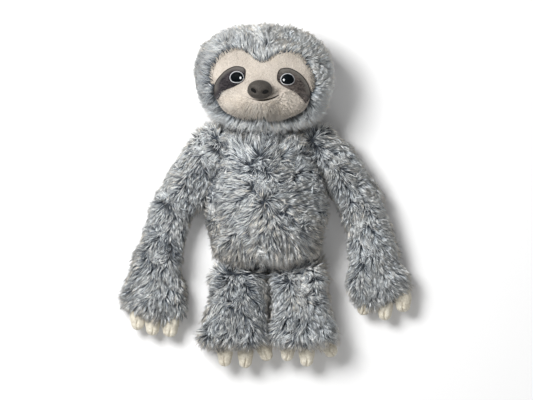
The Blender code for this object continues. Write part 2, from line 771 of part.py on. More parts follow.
def make_eye(side, head):
    label = "left" if side < 0 else "right"
    place = EYE_LEFT_SHARES if side < 0 else EYE_RIGHT_SHARES
    centre = (FACE_X + place[0] * FACE_WIDTH / 2, FACE_Y + place[1] * FACE_HEIGHT / 2)
    shares = PATCH_LEFT_SHARES if side < 0 else PATCH_RIGHT_SHARES
    outline = [(centre[0] + side * x * PATCH_LENGTH, centre[1] + y * PATCH_LENGTH)
               for x, y in shares]
    patch_low = SEAM_GAP
    patch_high = patch_low + PATCH_THICKNESS
    patch = layer("eye_patch", outline, patch_low, patch_high)
    finish(patch, f"eye_patch_{label}", "patch_cloth", PATCH_CLOTH, head)

    eye_low = patch_high + SEAM_GAP
    border = 2 * RING_BORDER
    ring = layer("eye_ring", ellipse(centre, EYE_WIDTH + border, EYE_HEIGHT + border),
                 eye_low, eye_low + RING_THICKNESS)
    gap = 2 * SEAM_GAP
    hollow = prism("eye_room", ellipse(centre, EYE_WIDTH + gap, EYE_HEIGHT + gap))
    combine(ring, hollow, "DIFFERENCE")
    finish(ring, f"eye_ring_{label}", "eye_light", EYE_LIGHT, head)
    eye = layer("eye", ellipse(centre, EYE_WIDTH, EYE_HEIGHT), eye_low, eye_low + EYE_THICKNESS)
    finish(eye, f"eye_{label}", "eye_dark", EYE_DARK, head)


def make_nose(head):
    """An egg-shaped nose seated on the muzzle, with two nostrils and a shank."""
    half = (NOSE_WIDTH / 2, NOSE_HEIGHT / 2, NOSE_DEPTH / 2)
    nose = ball("nose", (NOSE_X, NOSE_Y, NOSE_LEVEL), half, NOSE_SIDES, NOSE_RINGS)
    combine(nose, face_form(SEAM_GAP), "DIFFERENCE")
    top = NOSE_LEVEL + NOSE_DEPTH / 2
    for side in (-1, 1):
        dent = ball("nostril", (0, 0, 0),
                    (NOSTRIL_WIDTH / 2, NOSTRIL_HEIGHT / 2, NOSTRIL_DEPTH / 2),
                    NOSTRIL_SIDES, NOSTRIL_RINGS)
        dent.data.transform(Matrix.Rotation(side * NOSTRIL_SLANT, 4, "Z"))
        place = (NOSE_X + side * NOSTRIL_SPREAD / 2, NOSE_Y - NOSTRIL_DROP, top - NOSTRIL_DEPTH / 4)
        dent.data.transform(Matrix.Translation(place))
        combine(nose, dent, "DIFFERENCE")
    shank = rod("shank", (NOSE_X, NOSE_Y, NOSE_LEVEL - SHANK_LENGTH), SHANK_RADIUS, SHANK_LENGTH)
    combine(nose, shank, "UNION")
    finish(nose, "nose", "nose_skin", NOSE_SKIN, head)


def make_washer(head, level):
    """The lock washer on the nose's shank, inside the face."""
    washer = rod("washer", (NOSE_X, NOSE_Y, level), WASHER_RADIUS, WASHER_THICKNESS, WASHER_SIDES)
    drill(washer, NOSE_X, NOSE_Y, 0, SHANK_RADIUS + SEAM_GAP)
    finish(washer, "nose_washer", "washer_plastic", WASHER_PLASTIC, head)


def make_mouth(head):
    """A thread along y = dip (2 u - 1)^2 + turn u, laid on the face."""
    face = face_form(SEAM_GAP + THREAD_RADIUS)
    curve = bpy.data.curves.new("mouth_stitch", "CURVE")
    curve.dimensions = "3D"
    curve.bevel_depth = THREAD_RADIUS
    curve.bevel_resolution = THREAD_STEPS
    curve.use_fill_caps = True
    spline = curve.splines.new("POLY")
    spline.points.add(MOUTH_STEPS - 1)
    for i, knot in enumerate(spline.points):
        share = i / (MOUTH_STEPS - 1)
        x = MOUTH_X + (share - 0.5) * MOUTH_WIDTH
        y = MOUTH_Y + MOUTH_DIP * ((2 * share - 1) ** 2 - 1) + MOUTH_TURN * share
        knot.co = (x, y, surface_height(face, x, y), 1)
    bpy.data.objects.remove(face)
    thread = apply_modifiers(meshed(solid("mouth_stitch", curve)))
    finish(thread, "mouth_stitch", "thread", THREAD, head)


def make_face_panel(head):
    panel = face_form(0)
    combine(panel, face_form(-VELOUR_THICKNESS), "DIFFERENCE")
    combine(panel, prism("face_outline", face_outline(SEAM_GAP)), "INTERSECT")
    drill(panel, NOSE_X, NOSE_Y, 0, SHANK_RADIUS + SEAM_GAP)
    finish(panel, "face_panel", "face_velour", FACE_CLOTH, head)


def make_head(neck):
    """Hood and back of the head, the face let into the hood, and all that is sewn on the face."""
    head = pivot("head_pivot", neck_place(), neck)
    inside = face_form(-VELOUR_THICKNESS - SEAM_GAP)
    rim = ellipse((NOSE_X, NOSE_Y), 2 * WASHER_RADIUS, 2 * WASHER_RADIUS)
    lowest = min(surface_height(inside, x, y) for x, y in rim)
    washer_level = lowest - SEAM_GAP - WASHER_THICKNESS
    combine(inside, prism("face_core", face_outline(2 * SEAM_GAP)), "INTERSECT")
    cut_neck_socket(inside, PLUSH_THICKNESS + SEAM_GAP)

    def open_face(skin):
        combine(skin, prism("face_opening", face_outline(0)), "DIFFERENCE")

    def add_face(core):
        combine(core, inside, "UNION")
        drill(core, NOSE_X, NOSE_Y, washer_level - SEAM_GAP, WASHER_RADIUS + SEAM_GAP)
        drill(core, NOSE_X, NOSE_Y, NOSE_LEVEL - SHANK_LENGTH - SEAM_GAP, SHANK_RADIUS + SEAM_GAP)

    def shape(inset):
        return head_shape(inset, HEAD_SIDES if inset == 0 else CORE_SIDES)

    sewn_body("head", shape, (cut_neck_socket,), head_level(), head, ("grey_fur", FUR),
              open_face, add_face)
    make_face_panel(head)
    for side in (-1, 1):
        make_eye(side, head)
    make_nose(head)
    make_washer(head, washer_level)
    make_mouth(head)


def make_neck(root):
    turn = pivot("neck_pivot", neck_place(), root)
    radius = NECK_RADIUS
    neck = ball("neck", neck_place(), (radius, radius, radius))
    finish(neck, "neck", "grey_fur", FUR, turn)
    return turn


def main():
    root = pivot("torso_root", (0, 0, 0))
    make_torso(root)
    for side in (-1, 1):
        make_arm(side, root)
        make_leg(side, root)
    make_head(make_neck(root))


main()
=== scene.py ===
import bpy
import numpy as np
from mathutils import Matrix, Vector


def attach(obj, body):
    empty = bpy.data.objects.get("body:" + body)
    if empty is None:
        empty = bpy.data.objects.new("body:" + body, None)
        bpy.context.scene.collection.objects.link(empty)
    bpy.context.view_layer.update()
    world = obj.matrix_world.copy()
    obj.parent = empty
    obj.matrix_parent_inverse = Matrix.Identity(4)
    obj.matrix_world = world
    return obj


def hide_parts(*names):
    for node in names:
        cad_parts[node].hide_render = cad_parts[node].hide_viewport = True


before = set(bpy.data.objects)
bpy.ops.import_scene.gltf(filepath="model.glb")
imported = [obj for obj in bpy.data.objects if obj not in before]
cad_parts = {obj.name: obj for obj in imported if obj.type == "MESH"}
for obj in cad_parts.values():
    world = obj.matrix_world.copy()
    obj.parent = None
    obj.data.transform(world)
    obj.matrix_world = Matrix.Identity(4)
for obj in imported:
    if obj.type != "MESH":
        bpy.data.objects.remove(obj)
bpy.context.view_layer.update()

# A plush sloth lying on its back. Lengths are in millimetres up to make_piece, which turns
# them into metres. The fur is made of tapered strands, each three-sided and closed.
MM = 0.001
SIDES = {-1: "left", 1: "right"}     # by the sign of X; the toy's own left is +X
REST_CUT = 0.5
FUR_BED = 2.2                    # the pressed-flat fur under the toy is this thick
SQUARE_ANGLE = np.pi / 2


# Shapes

def signed_power(x, exponent):
    """|x| to a power, with the sign of x."""
    return np.sign(x) * np.abs(x) ** exponent


def unit(vectors):
    return vectors / np.maximum(np.linalg.norm(vectors, axis=-1, keepdims=True), 1e-9)


def dot(a, b):
    return (a * b).sum(-1, keepdims=True)


def bell(distance, width):
    """exp(-(distance / width)^2)"""
    return np.exp(-(distance / width) ** 2)


def rising(x, at, width):
    """0 well below a place and 1 well above it: 1 / (1 + exp((at - x) / width))"""
    return 1 / (1 + np.exp((at - x) / width))


def falling(x, at, width):
    return 1 / (1 + np.exp((x - at) / width))


def through(stations, values, at):
    """A cubic between each two rows of a table, whose slope at a row is that of the parabola
    through the row and its two neighbours."""
    x, y = np.asarray(stations, float), np.asarray(values, float)
    slope = np.gradient(y, x)
    at = np.clip(at, x[0], x[-1])
    i = np.clip(np.searchsorted(x, at, side="right") - 1, 0, len(x) - 2)
    step = x[i + 1] - x[i]
    t = (at - x[i]) / step
    return ((1 + 2 * t) * (1 - t) ** 2 * y[i] + t * (1 - t) ** 2 * step * slope[i]
            + t * t * (3 - 2 * t) * y[i + 1] + t * t * (t - 1) * step * slope[i + 1])


def closed_curve(points, turn):
    """The Catmull-Rom curve round a ring of points: at turn 0 to 1 it is the cubic through the
    two nearest points, whose slope at each is half the step between its neighbours."""
    p = np.asarray(points, float)
    place = np.asarray(turn) % 1 * len(p)
    i = np.floor(place).astype(int)
    t = (place - i)[..., None]
    a, b, c, d = (p[(i + k) % len(p)] for k in (-1, 0, 1, 2))
    return 0.5 * (2 * b + (c - a) * t + (2 * a - 5 * b + 4 * c - d) * t ** 2
                  + (3 * b - a - 3 * c + d) * t ** 3)


def swell(points, size, seed):
    """Soft noise from -1 to 1 and its slope: the mean of nine plane waves of about one length in
    directions spread at random, sin(k . p + phase), made steeper by 1.8."""
    dice = np.random.default_rng(seed)
    ways = unit(dice.normal(size=(9, 3))) * dice.uniform(0.7, 1.4, (9, 1)) * 2 * np.pi / size
    phase = points @ ways.T + dice.uniform(0, 2 * np.pi, 9)
    return np.clip(np.sin(phase).mean(-1) * 1.8, -1, 1), 1.8 / 9 * np.cos(phase) @ ways


def waves(points, size, seed):
    return swell(points, size, seed)[0]


class Form:
    """A stuffed form: a superellipse carried along a straight line, closed by two round ends.

    The section at a distance s along the line is across = m + w c, up = h + d e, where c and e
    are the cosine and sine of the turn to the power 2 / p, and m, w, d follow the rows. In an
    end of radius r, at the angle a from its rim, s runs on by r sin a and the section shrinks
    by cos a. A turned end keeps its width and is round about the axis across instead.
    """

    def __init__(self, origin, along, across, rows, ends, p, level=None, turned=False, sides=16,
                 ground=0.0):
        self.origin, self.along, self.across = (np.array([*v, 0.0]) for v in (origin, along, across))
        self.rows, self.ends, self.p, self.turned = np.array(rows, float).T, ends, p, turned
        self.level, self.sink = level, np.cos(np.pi / sides) ** (2 / p)
        self.presses, self.ground, self.crown = [], ground, 15 if turned else 4

    def middle(self, s):
        """Middle, half width, half depth and level of the section at a distance along."""
        m, w, d = (through(self.rows[0], row, s) for row in self.rows[1:])
        return m, w, d, d * self.sink - REST_CUT if self.level is None else self.level + 0 * d

    def surface(self, turn, share, rise=0.0):
        """Point at a turn round the section and a share of the way along, both from 0 to 1."""
        s0, s1 = self.rows[0][0], self.rows[0][-1]
        lengths = np.array([self.ends[0] * SQUARE_ANGLE, s1 - s0, self.ends[1] * SQUARE_ANGLE])
        way = share * lengths.sum()
        a0 = np.clip(1 - way / lengths[0], 0, 1) * SQUARE_ANGLE
        a1 = np.clip((way - lengths[0] - lengths[1]) / lengths[2], 0, 1) * SQUARE_ANGLE
        s = s0 + np.clip(way - lengths[0], 0, lengths[1])
        m, w, d, h = self.middle(s)
        w, d = w + rise, d + rise
        s = s - (self.ends[0] + rise) * np.sin(a0) + (self.ends[1] + rise) * np.sin(a1)
        c = signed_power(np.cos(2 * np.pi * turn), 2 / self.p)
        e = signed_power(np.sin(2 * np.pi * turn), 2 / self.p)
        if self.turned:
            lean = np.sin(a0)
            x = w * np.maximum(1 - lean ** self.p, 0) ** (1 / self.p) * c
            reach = np.maximum(1 - np.abs(x / w) ** self.p, 0) ** (1 / self.p)
            up = np.sign(e) * d * np.sqrt(np.maximum(reach ** 2 - lean ** 2, 0))
            x, up = (np.where(a0 > 0, one, other * np.cos(a1))
                     for one, other in ((x, w * c), (up, d * e)))
        else:
            x, up = w * np.cos(a0) * np.cos(a1) * c, d * np.cos(a0) * np.cos(a1) * e
        return (self.origin + s[..., None] * self.along + (m + x)[..., None] * self.across
                + (h + up)[..., None] * np.array([0, 0, 1.0]))

    def pressed(self, points):
        for press in self.presses:
            points = press(points)
        return points

    def holds(self, points, grown=0.0):
        """Whether the form, grown all round by a length, holds each point."""
        away = points - self.origin
        s, x, z = away @ self.along, away @ self.across, away[..., 2]
        m, w, d, h = self.middle(s)
        before = np.clip((self.rows[0][0] - s) / (self.ends[0] + grown), 0, 1)
        after = np.clip((s - self.rows[0][-1]) / (self.ends[1] + grown), 0, 1)
        shrink = np.sqrt(np.maximum((1 - before ** 2) * (1 - after ** 2), 1e-6))
        far = (np.abs((x - m) / ((w + grown) * shrink)) ** self.p
               + np.abs((z - h) / ((d + grown) * shrink)) ** self.p)
        return (far < 1) & (before < 1) & (after < 1)


class HeadForm(Form):
    """The head from chin to crown: at a height v half as tall as the head its half width is
    W (1 - |v|^p)^(1/p) and its half depth D (1 - v^2)^(1/2)."""

    def surface(self, turn, share, rise=0.0):
        v = -np.cos(np.pi * share)
        wide = np.maximum(1 - np.abs(v) ** HEAD_OUTLINE_P, 0) ** (1 / HEAD_OUTLINE_P)
        w, d = (HEAD_HALF[0] + rise) * wide, (HEAD_HALF[2] + rise) * np.sqrt(np.maximum(1 - v * v, 0))
        x = w * signed_power(np.cos(2 * np.pi * turn), 2 / self.p)
        z = HEAD_LEVEL + d * signed_power(np.sin(2 * np.pi * turn), 2 / self.p)
        return (self.origin + (v * (HEAD_HALF[1] + rise))[..., None] * self.along
                + x[..., None] * self.across + z[..., None] * np.array([0, 0, 1.0]))

    def holds(self, points, grown=0.0):
        away = points - self.origin
        v = np.clip(away @ self.along / (HEAD_HALF[1] + grown), -1, 1)
        w = (HEAD_HALF[0] + grown) * (1 - np.abs(v) ** HEAD_OUTLINE_P) ** (1 / HEAD_OUTLINE_P) + 1e-6
        d = (HEAD_HALF[2] + grown) * np.sqrt(1 - v * v) + 1e-6
        x, z = away @ self.across, away[..., 2] - HEAD_LEVEL
        return np.abs(x / w) ** self.p + np.abs(z / d) ** self.p < 1


# The toy's forms, with the rows of each: place along, middle, half width and half depth

def table(rows, length, width, depth):
    return [(a * length, m * width, w * width, d * depth) for a, m, w, d in rows]


TORSO = Form((0, 66), (0, -1), (1, 0), table((
    (0.11, 0, 0.36, 0.40), (0.26, 0, 0.46, 0.45), (0.43, 0, 0.50, 0.49), (0.59, 0, 0.495, 0.50),
    (0.73, 0, 0.465, 0.49), (0.84, 0, 0.43, 0.455)), 136, 122, 81), (14, 20), 2.2, ground=2.8)

ARM_ROWS = {-1: ((0.07, 0.21, 0.41, 0.46), (0.19, 0.32, 0.49, 0.50), (0.29, 0.41, 0.49, 0.50),
                 (0.38, 0.48, 0.47, 0.48), (0.46, 0.56, 0.41, 0.46), (0.61, 0.52, 0.42, 0.46),
                 (0.74, 0.45, 0.47, 0.46), (0.845, 0.31, 0.59, 0.45), (0.90, 0.27, 0.60, 0.43),
                 (0.935, 0.31, 0.52, 0.39)),
            1: ((0.08, 0.21, 0.41, 0.46), (0.18, 0.30, 0.46, 0.50), (0.27, 0.38, 0.46, 0.50),
                (0.36, 0.46, 0.445, 0.48), (0.45, 0.49, 0.425, 0.46), (0.585, 0.39, 0.44, 0.46),
                (0.725, 0.20, 0.52, 0.46), (0.80, 0.09, 0.56, 0.45), (0.85, 0.11, 0.55, 0.43),
                (0.88, 0.15, 0.48, 0.39))}
ARM_SIZE = (207, 50, 46)
SEAM_TOP = {-1: (-32.5, 69.0), 1: (30.5, 69.0)}
SEAM_LEAN = {-1: np.radians(21.1), 1: np.radians(26.6)}
SEAM_LENGTH = 78


def arm_axes(side):
    lean = SEAM_LEAN[side]
    return ((side * np.sin(lean), -np.cos(lean)), (side * np.cos(lean), np.sin(lean)))


ARMS = {side: Form(SEAM_TOP[side], *arm_axes(side), table(ARM_ROWS[side], *ARM_SIZE), (14, 13), 2.1,
                   ground=1.6)
        for side in (-1, 1)}

HIP_Y, HIP_RADIUS, HIP_MIDDLE, HIP_SPREAD = -88, 27, 2.5, 59.6
LEG_SIZE = (61, 62, 54)
LEG_ROWS = ((0.00, 0.000, 0.455, 0.50), (0.31, 0.026, 0.482, 0.50), (0.52, 0.056, 0.511, 0.50),
            (0.78, 0.077, 0.529, 0.48))
LEGS = {side: Form((HIP_MIDDLE + side * HIP_SPREAD / 2, HIP_Y), (0, -1), (side, 0),
                   table(LEG_ROWS, *LEG_SIZE), (HIP_RADIUS, 13), 2.6, turned=True, ground=2.4)
        for side in (-1, 1)}
HIP_LEVEL = HIP_RADIUS * LEGS[1].sink - REST_CUT

HEAD_HALF = (70, 50, 48.5)
HEAD_OUTLINE_P, HEAD_SECTION_P, HEAD_LEAN = 2.35, 2.15, np.radians(-2.5)
HEAD = HeadForm((-2, 125.5), (-np.sin(HEAD_LEAN), np.cos(HEAD_LEAN)),
                (np.cos(HEAD_LEAN), np.sin(HEAD_LEAN)),
                [(0, 0, 70, 48.5), (1, 0, 70, 48.5)], (50, 50), HEAD_SECTION_P, sides=20, ground=2.6)
HEAD_LEVEL = HEAD_HALF[2] * HEAD.sink - REST_CUT
NECK_MIDDLE, NECK_RADIUS = np.array([-1.5, 66, 38.0]), 23
NECK = Form((-1.5, 66), (0, 1), (1, 0), [(s, 0, NECK_RADIUS, NECK_RADIUS) for s in (-0.5, 0.5)],
            (22.5, 22.5), 2, level=38, ground=2.5)


def press_floor(points):
    """Lay everything lower than the fur bed flat on it."""
    points[..., 2] = np.maximum(points[..., 2], FUR_BED)
    return points


def past_seam(side, points):
    """How far past the plane of a shoulder seam each point lies, outwards, and whether it is
    beside the seam or above it."""
    along, across = (np.array([*v, 0.0]) for v in arm_axes(side))
    away = points - np.array([*SEAM_TOP[side], 0.0])
    return away @ across, away @ along < SEAM_LENGTH, across


def press_seam(side, keeps):
    """Flatten what passes the plane of a shoulder seam onto it. keeps is the side that stays."""
    def press(points):
        past, beside, across = past_seam(side, points)
        past = np.maximum(keeps * 0.3 - past * keeps, 0) * keeps * beside
        return points + past[..., None] * across
    return press


def press_neck(direction):
    """Push what lies inside the neck ball out of it along Y."""
    def press(points):
        x, z = points[..., 0] - NECK_MIDDLE[0], points[..., 2] - NECK_MIDDLE[2]
        reach = np.sqrt(np.maximum((NECK_RADIUS + 0.5) ** 2 - x * x - z * z, 0))
        limit = NECK_MIDDLE[1] + direction * reach
        inside = (reach > 0) & (direction * (points[..., 1] - limit) < 0)
        points[..., 1] = np.where(inside, limit, points[..., 1])
        return points
    return press


def seat_line(x):
    """How low the seat reaches: lowest in the middle, and 15 higher at the flanks."""
    return -62 + 15 * (x / 50) ** 2


def press_seat(points):
    points[..., 1] = np.maximum(points[..., 1], seat_line(points[..., 0]))
    return points


def press_hips(points):
    """Push the seat back off the round of the hips, and above the axle off the folding legs."""
    drop = np.maximum(HIP_LEVEL - points[..., 2], 0)
    limit = HIP_Y + np.sqrt(np.maximum((HIP_RADIUS + 0.6) ** 2 - drop ** 2, 0))
    points[..., 1] = np.maximum(points[..., 1], limit)
    return points


TORSO.presses = [press_seat, press_hips, press_neck(-1), press_seam(-1, -1), press_seam(1, -1),
                 press_floor]
HEAD.presses = [lambda points: press_face(points), press_neck(1), press_floor]
for side in (-1, 1):
    ARMS[side].presses = [press_seam(side, 1), press_floor]
    LEGS[side].presses = [press_floor]


# Meshes

def make_piece(name, points, faces, body, finish, slot=None, uv=None, marks=None):
    """A mesh of triangles or quads that rides on a body, from arrays in millimetres. Its faces
    are turned round together if the volume they enclose, the sum of p0 . (p1 x p2) / 6 over
    their triangles, comes out negative."""
    groups = [np.asarray(f) for f in (faces if isinstance(faces, list) else [faces])]
    volume = 0.0
    for group in groups:
        p = points[group]
        for k in range(1, group.shape[1] - 1):
            volume += dot(p[:, 0], np.cross(p[:, k], p[:, k + 1])).sum()
    if volume < 0:
        groups = [g[:, ::-1] for g in groups]
        uv = None if uv is None else uv[:, ::-1]
    mesh = bpy.data.meshes.new(name)
    mesh.vertices.add(len(points))
    mesh.vertices.foreach_set("co", (points * MM).astype(np.float32).ravel())
    corners = np.concatenate([g.ravel() for g in groups]).astype(np.int32)
    sizes = np.concatenate([np.full(len(g), g.shape[1]) for g in groups])
    mesh.loops.add(len(corners))
    mesh.loops.foreach_set("vertex_index", corners)
    mesh.polygons.add(len(sizes))
    mesh.polygons.foreach_set("loop_start", np.concatenate([[0], sizes.cumsum()[:-1]]).astype(np.int32))
    if uv is not None:
        layer = mesh.uv_layers.new(name="OFBake")
        layer.uv.foreach_set("vector", uv.astype(np.float32).ravel())
    if marks is not None:
        band = mesh.attributes.new("band", "FLOAT", "POINT")
        band.data.foreach_set("value", marks.astype(np.float32))
    mesh.update(calc_edges=True)
    mesh.validate()
    mesh.shade_smooth()
    piece = bpy.data.objects.new(name, mesh)
    bpy.context.collection.objects.link(piece)
    mesh.materials.append(finish)
    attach(piece, body)
    return piece


def capped_grid(points):
    """Points and faces of a closed surface from a grid whose first and last rows are poles."""
    rows, columns = points.shape[:2]
    inner = points[1:-1].reshape(-1, points.shape[2])
    flat = np.concatenate([points[0, :1], inner, points[-1, :1]])
    i, j = np.meshgrid(np.arange(rows - 3), np.arange(columns), indexing="ij")
    a, b = 1 + i * columns + j, 1 + i * columns + (j + 1) % columns
    quads = np.stack([a, b, b + columns, a + columns], -1).reshape(-1, 4)
    j = np.arange(columns)
    k, last = (j + 1) % columns, 1 + (rows - 3) * columns
    start = np.stack([0 * j, 1 + k, 1 + j], -1)
    end = np.stack([0 * j + len(flat) - 1, last + j, last + k], -1)
    return flat, [quads, np.concatenate([start, end])]


def form_piece(name, form, rows, columns, body, finish, slot, dimple=None, rise=0.0):
    turn, share = np.meshgrid(np.arange(columns) / columns, np.linspace(0, 1, rows))
    points = form.surface(turn, share, rise)
    if dimple is not None:
        points = dimple(points)
    return make_piece(name, *capped_grid(form.pressed(points)), body, finish, slot)


# Fur

STRAND_RING = np.radians((-90, 30, 150))
HUES = 3
MEAN_SHADE = 0.86


def strand_plan(heights):
    """Faces of a closed strand of three sides, with a ring at each height and a point at its
    tip, and for each corner of them its place round the strand in thirds and its height."""
    faces, places, rings = [(0, 2, 1)], [((0, 0), (2, 0), (1, 0.02))], len(heights)
    for r, low in enumerate(heights):
        for i in range(3):
            a, b = 3 * r + i, 3 * r + (i + 1) % 3
            if r + 1 < rings:
                high = heights[r + 1]
                faces += [(a, b, b + 3), (a, b + 3, a + 3)]
                places += [((i, low), (i + 1, low), (i + 1, high)),
                           ((i, low), (i + 1, high), (i, high))]
            else:
                faces += [(a, b, 3 * rings)]
                places += [((i, low), (i + 1, low), (i + 0.5, 0.99))]
    return np.array(faces), np.array(places, float)


def lay(form, turn, share, step=1e-4):
    """Points, outward normals and area per unit of the two parameters, by central differences."""
    share = np.clip(share, step, 1 - step)

    def at(turn, share):
        return form.surface(turn, share, -form.ground)
    points = at(turn, share)
    around = at(turn + step, share) - at(turn - step, share)
    along = at(turn, share + step) - at(turn, share - step)
    normals = np.cross(around, along) / (4 * step * step)
    area = np.linalg.norm(normals, axis=-1)
    middle = (points + at(turn + 0.5, share)) / 2
    facing = np.sign(dot(normals, points - middle).sum())
    return points, facing * unit(normals), area


def scatter(form, count, keep, cells=200):
    """Places spread evenly by area. The shares of the area up to each row and up to each cell
    of the row are inverted at the points (i a, i b) mod 1, a and b being the powers -1 and -2 of
    the root of x^3 = x + 1."""
    centres = (np.arange(cells) + 0.5) / cells
    turn, share = np.meshgrid(centres, centres)
    points, normals, area = lay(form, turn, share)
    weight = area * keep(points, normals) + 1e-12
    rows = weight.sum(1).cumsum() / weight.sum()
    columns = weight.cumsum(1)
    order = np.arange(count) + 0.5
    a, b = order * 0.7548776662 % 1, order * 0.5698402910 % 1
    row = np.minimum(np.searchsorted(rows, a), cells - 1)
    low = np.where(row > 0, rows[row - 1], 0)
    share = (row + (a - low) / (rows[row] - low)) / cells
    line = columns[row]
    aim = (b * line[:, -1])[:, None]
    column = np.minimum((line < aim).sum(1), cells - 1)
    high = line[np.arange(count), column]
    low = np.where(column > 0, line[np.arange(count), column - 1], 0)
    turn = (column + (aim[:, 0] - low) / (high - low)) / cells
    points, normals, _ = lay(form, turn, share)
    return points, normals, weight.sum() / cells ** 2


# Each kind of strand: for each square millimetre, in each tuft, radius, share of the length,
# spread of a tuft's roots, how far the tips are drawn together, how wide the rings are at their
# heights, and how far the lightness varies from tuft to tuft and from strand to strand
KINDS = ((0.46, 4, 0.42, 0.88, 1.5, 0.35, ((0.01, 1.0), (0.5, 0.86)), 0.22, 0.48),
         (1.30, 3, 0.36, 0.85, 0.45, 0.50, ((0.01, 1.0),), 0.44, 0.58))


def clumps(form, keep, middles, spacing=7.5):
    """The clump each tuft belongs to, that whose middle is nearest: its number, the way from the
    tuft to that middle, and how far off it is as a share of the spacing. The middles are spread
    by area and jogged at random."""
    dice = np.random.default_rng(5)
    area = scatter(form, 2, keep)[2]
    centres, _, _ = scatter(form, max(int(area * 1.15 / spacing ** 2), 3), keep)
    centres = centres + 0.22 * spacing * dice.normal(size=centres.shape)
    number = np.concatenate([((part[:, None] - centres) ** 2).sum(-1).argmin(1)
                             for part in np.array_split(middles, len(middles) // 2000 + 1)])
    away = centres[number] - middles
    return number, away, np.linalg.norm(away, axis=1) / spacing


def tufts_of(kind, form, keep, flow, dice, length, tone, hue, contrast, dense):
    """The strands of one kind: their points, faces and map. Tufts are spread by area, and the
    strands of a tuft stand round it and lean together. The tufts of a clump lean alike, and are
    darker towards its rim. A strand runs from its root to root + length d, where d is the normal
    and the flow mixed by the lift; its tip is drawn to the tuft's, and its middle is arched
    outwards."""
    per_area, per_tuft, radius, share, spread, drawn, rings, mottled, varied = kind
    area = scatter(form, 2, keep)[2]
    tufts = int(area * per_area * dense / per_tuft)
    middles, normals, _ = scatter(form, tufts, keep)
    ways, lift, shade, stretch = flow(middles, normals)
    side = flank(normals)
    ways, lift = ways - side[:, None] * (0, 0, 0.7), lift - 0.10 * side
    swirl = np.stack([waves(middles, 34, 7 + k) for k in range(3)], -1)
    number, inwards, far = clumps(form, keep, middles)
    own = np.random.default_rng(6).normal(size=(number.max() + 1, 4))
    calm = (1 - 0.6 * side)[:, None]
    ways = ways + calm * (0.4 * swirl + 0.32 * contrast * own[number, :3]
                          + 0.15 * dice.normal(size=ways.shape))
    ways = unit(ways - dot(ways, normals) * normals)
    lift = np.clip(lift + 0.06 * dice.normal(size=len(lift)), 0.08, 0.95)[:, None]
    reach = length * share * np.reshape(stretch, (-1, 1)) * dice.uniform(0.85, 1.15, (tufts, 1))
    aims = middles + reach * unit(normals * lift + ways * (1 - lift)) + 0.30 * contrast * inwards
    look = shade + tone(middles, normals) + contrast * (
        mottled * dice.normal(size=tufts) + 0.12 * own[number, 3] + 0.12 - 0.7 * far ** 2)
    hues = hue(middles, normals) + 0.45 * dice.normal(size=tufts)

    def each(values):
        return np.repeat(values, per_tuft, axis=0)
    count = tufts * per_tuft
    far = spread * np.sqrt(dice.uniform(0, 1, (count, 1)))
    angle = dice.uniform(0, 2 * np.pi, (count, 1))
    up, beside = each(normals), each(np.cross(normals, ways))
    roots = each(middles) + far * (np.cos(angle) * each(ways) + np.sin(angle) * beside)
    roots -= 0.6 * up
    straight = roots + each(aims - middles) * dice.uniform(0.75, 1.15, (count, 1))
    straight += 0.55 * dice.normal(size=(count, 3))
    tips = straight + drawn * (each(aims) - straight)
    middle = 0.5 * (roots + tips) + dice.uniform(0.05, 0.14, (count, 1)) * length * up
    bed = dice.uniform(0.75, FUR_BED - 0.2, count)
    for line in (roots, middle, tips):
        line[:, 2] = np.maximum(line[:, 2], bed)
    axis = unit(tips - roots)
    sideways = unit(np.cross(axis, up) + 1e-6)
    ring = (np.cos(STRAND_RING)[:, None, None] * sideways
            + np.sin(STRAND_RING)[:, None, None] * np.cross(axis, sideways))
    size = radius * dice.uniform(0.75, 1.25, (count, 1))
    rounds = [line + ring * size * wide for line, (_, wide) in zip((roots, middle), rings)]
    points = np.concatenate(rounds + [tips[None]])
    faces, places = strand_plan([height for height, _ in rings])
    dark = dice.uniform(0, 1, count) < 0.3
    # Fewer dark strands at the flanks: partly their pale fringe and partly painted rim light.
    spot = contrast * varied * each(1 - 0.65 * side) * np.where(dark, -1.6, 0.7)
    shades = np.clip(MEAN_SHADE + each(look) + spot, 0.03, 0.97)
    column = (np.clip(each(hues), 0, HUES - 1).round().astype(int) + shades) / HUES
    across = column[:, None, None] + (places[None, :, :, 0] / 3 - 0.5) * 0.03 / HUES
    uv = np.stack([across, np.broadcast_to(places[None, :, :, 1], across.shape)], -1).reshape(-1, 3, 2)
    faces = (faces[None] + len(points) * np.arange(count)[:, None, None]).reshape(-1, 3)
    return points.transpose(1, 0, 2).reshape(-1, 3), faces, uv


def make_pile(name, form, keep, flow, finish, body, slot, seed, tone, hue, length=12.0, kinds=KINDS,
              contrast=1.0, dense=1.0):
    """Fur on a form, of every kind of strand, in one mesh."""
    dice = np.random.default_rng(seed)
    made = [tufts_of(kind, form, keep, flow, dice, length, tone, hue, contrast, dense)
            for kind in kinds]
    first = np.cumsum([0] + [len(points) for points, _, _ in made[:-1]])
    points, uv = np.concatenate([m[0] for m in made]), np.concatenate([m[2] for m in made])
    faces = np.concatenate([m[1] + start for m, start in zip(made, first)])
    return make_piece(name, points, faces, body, finish, slot, uv=uv)


# Materials

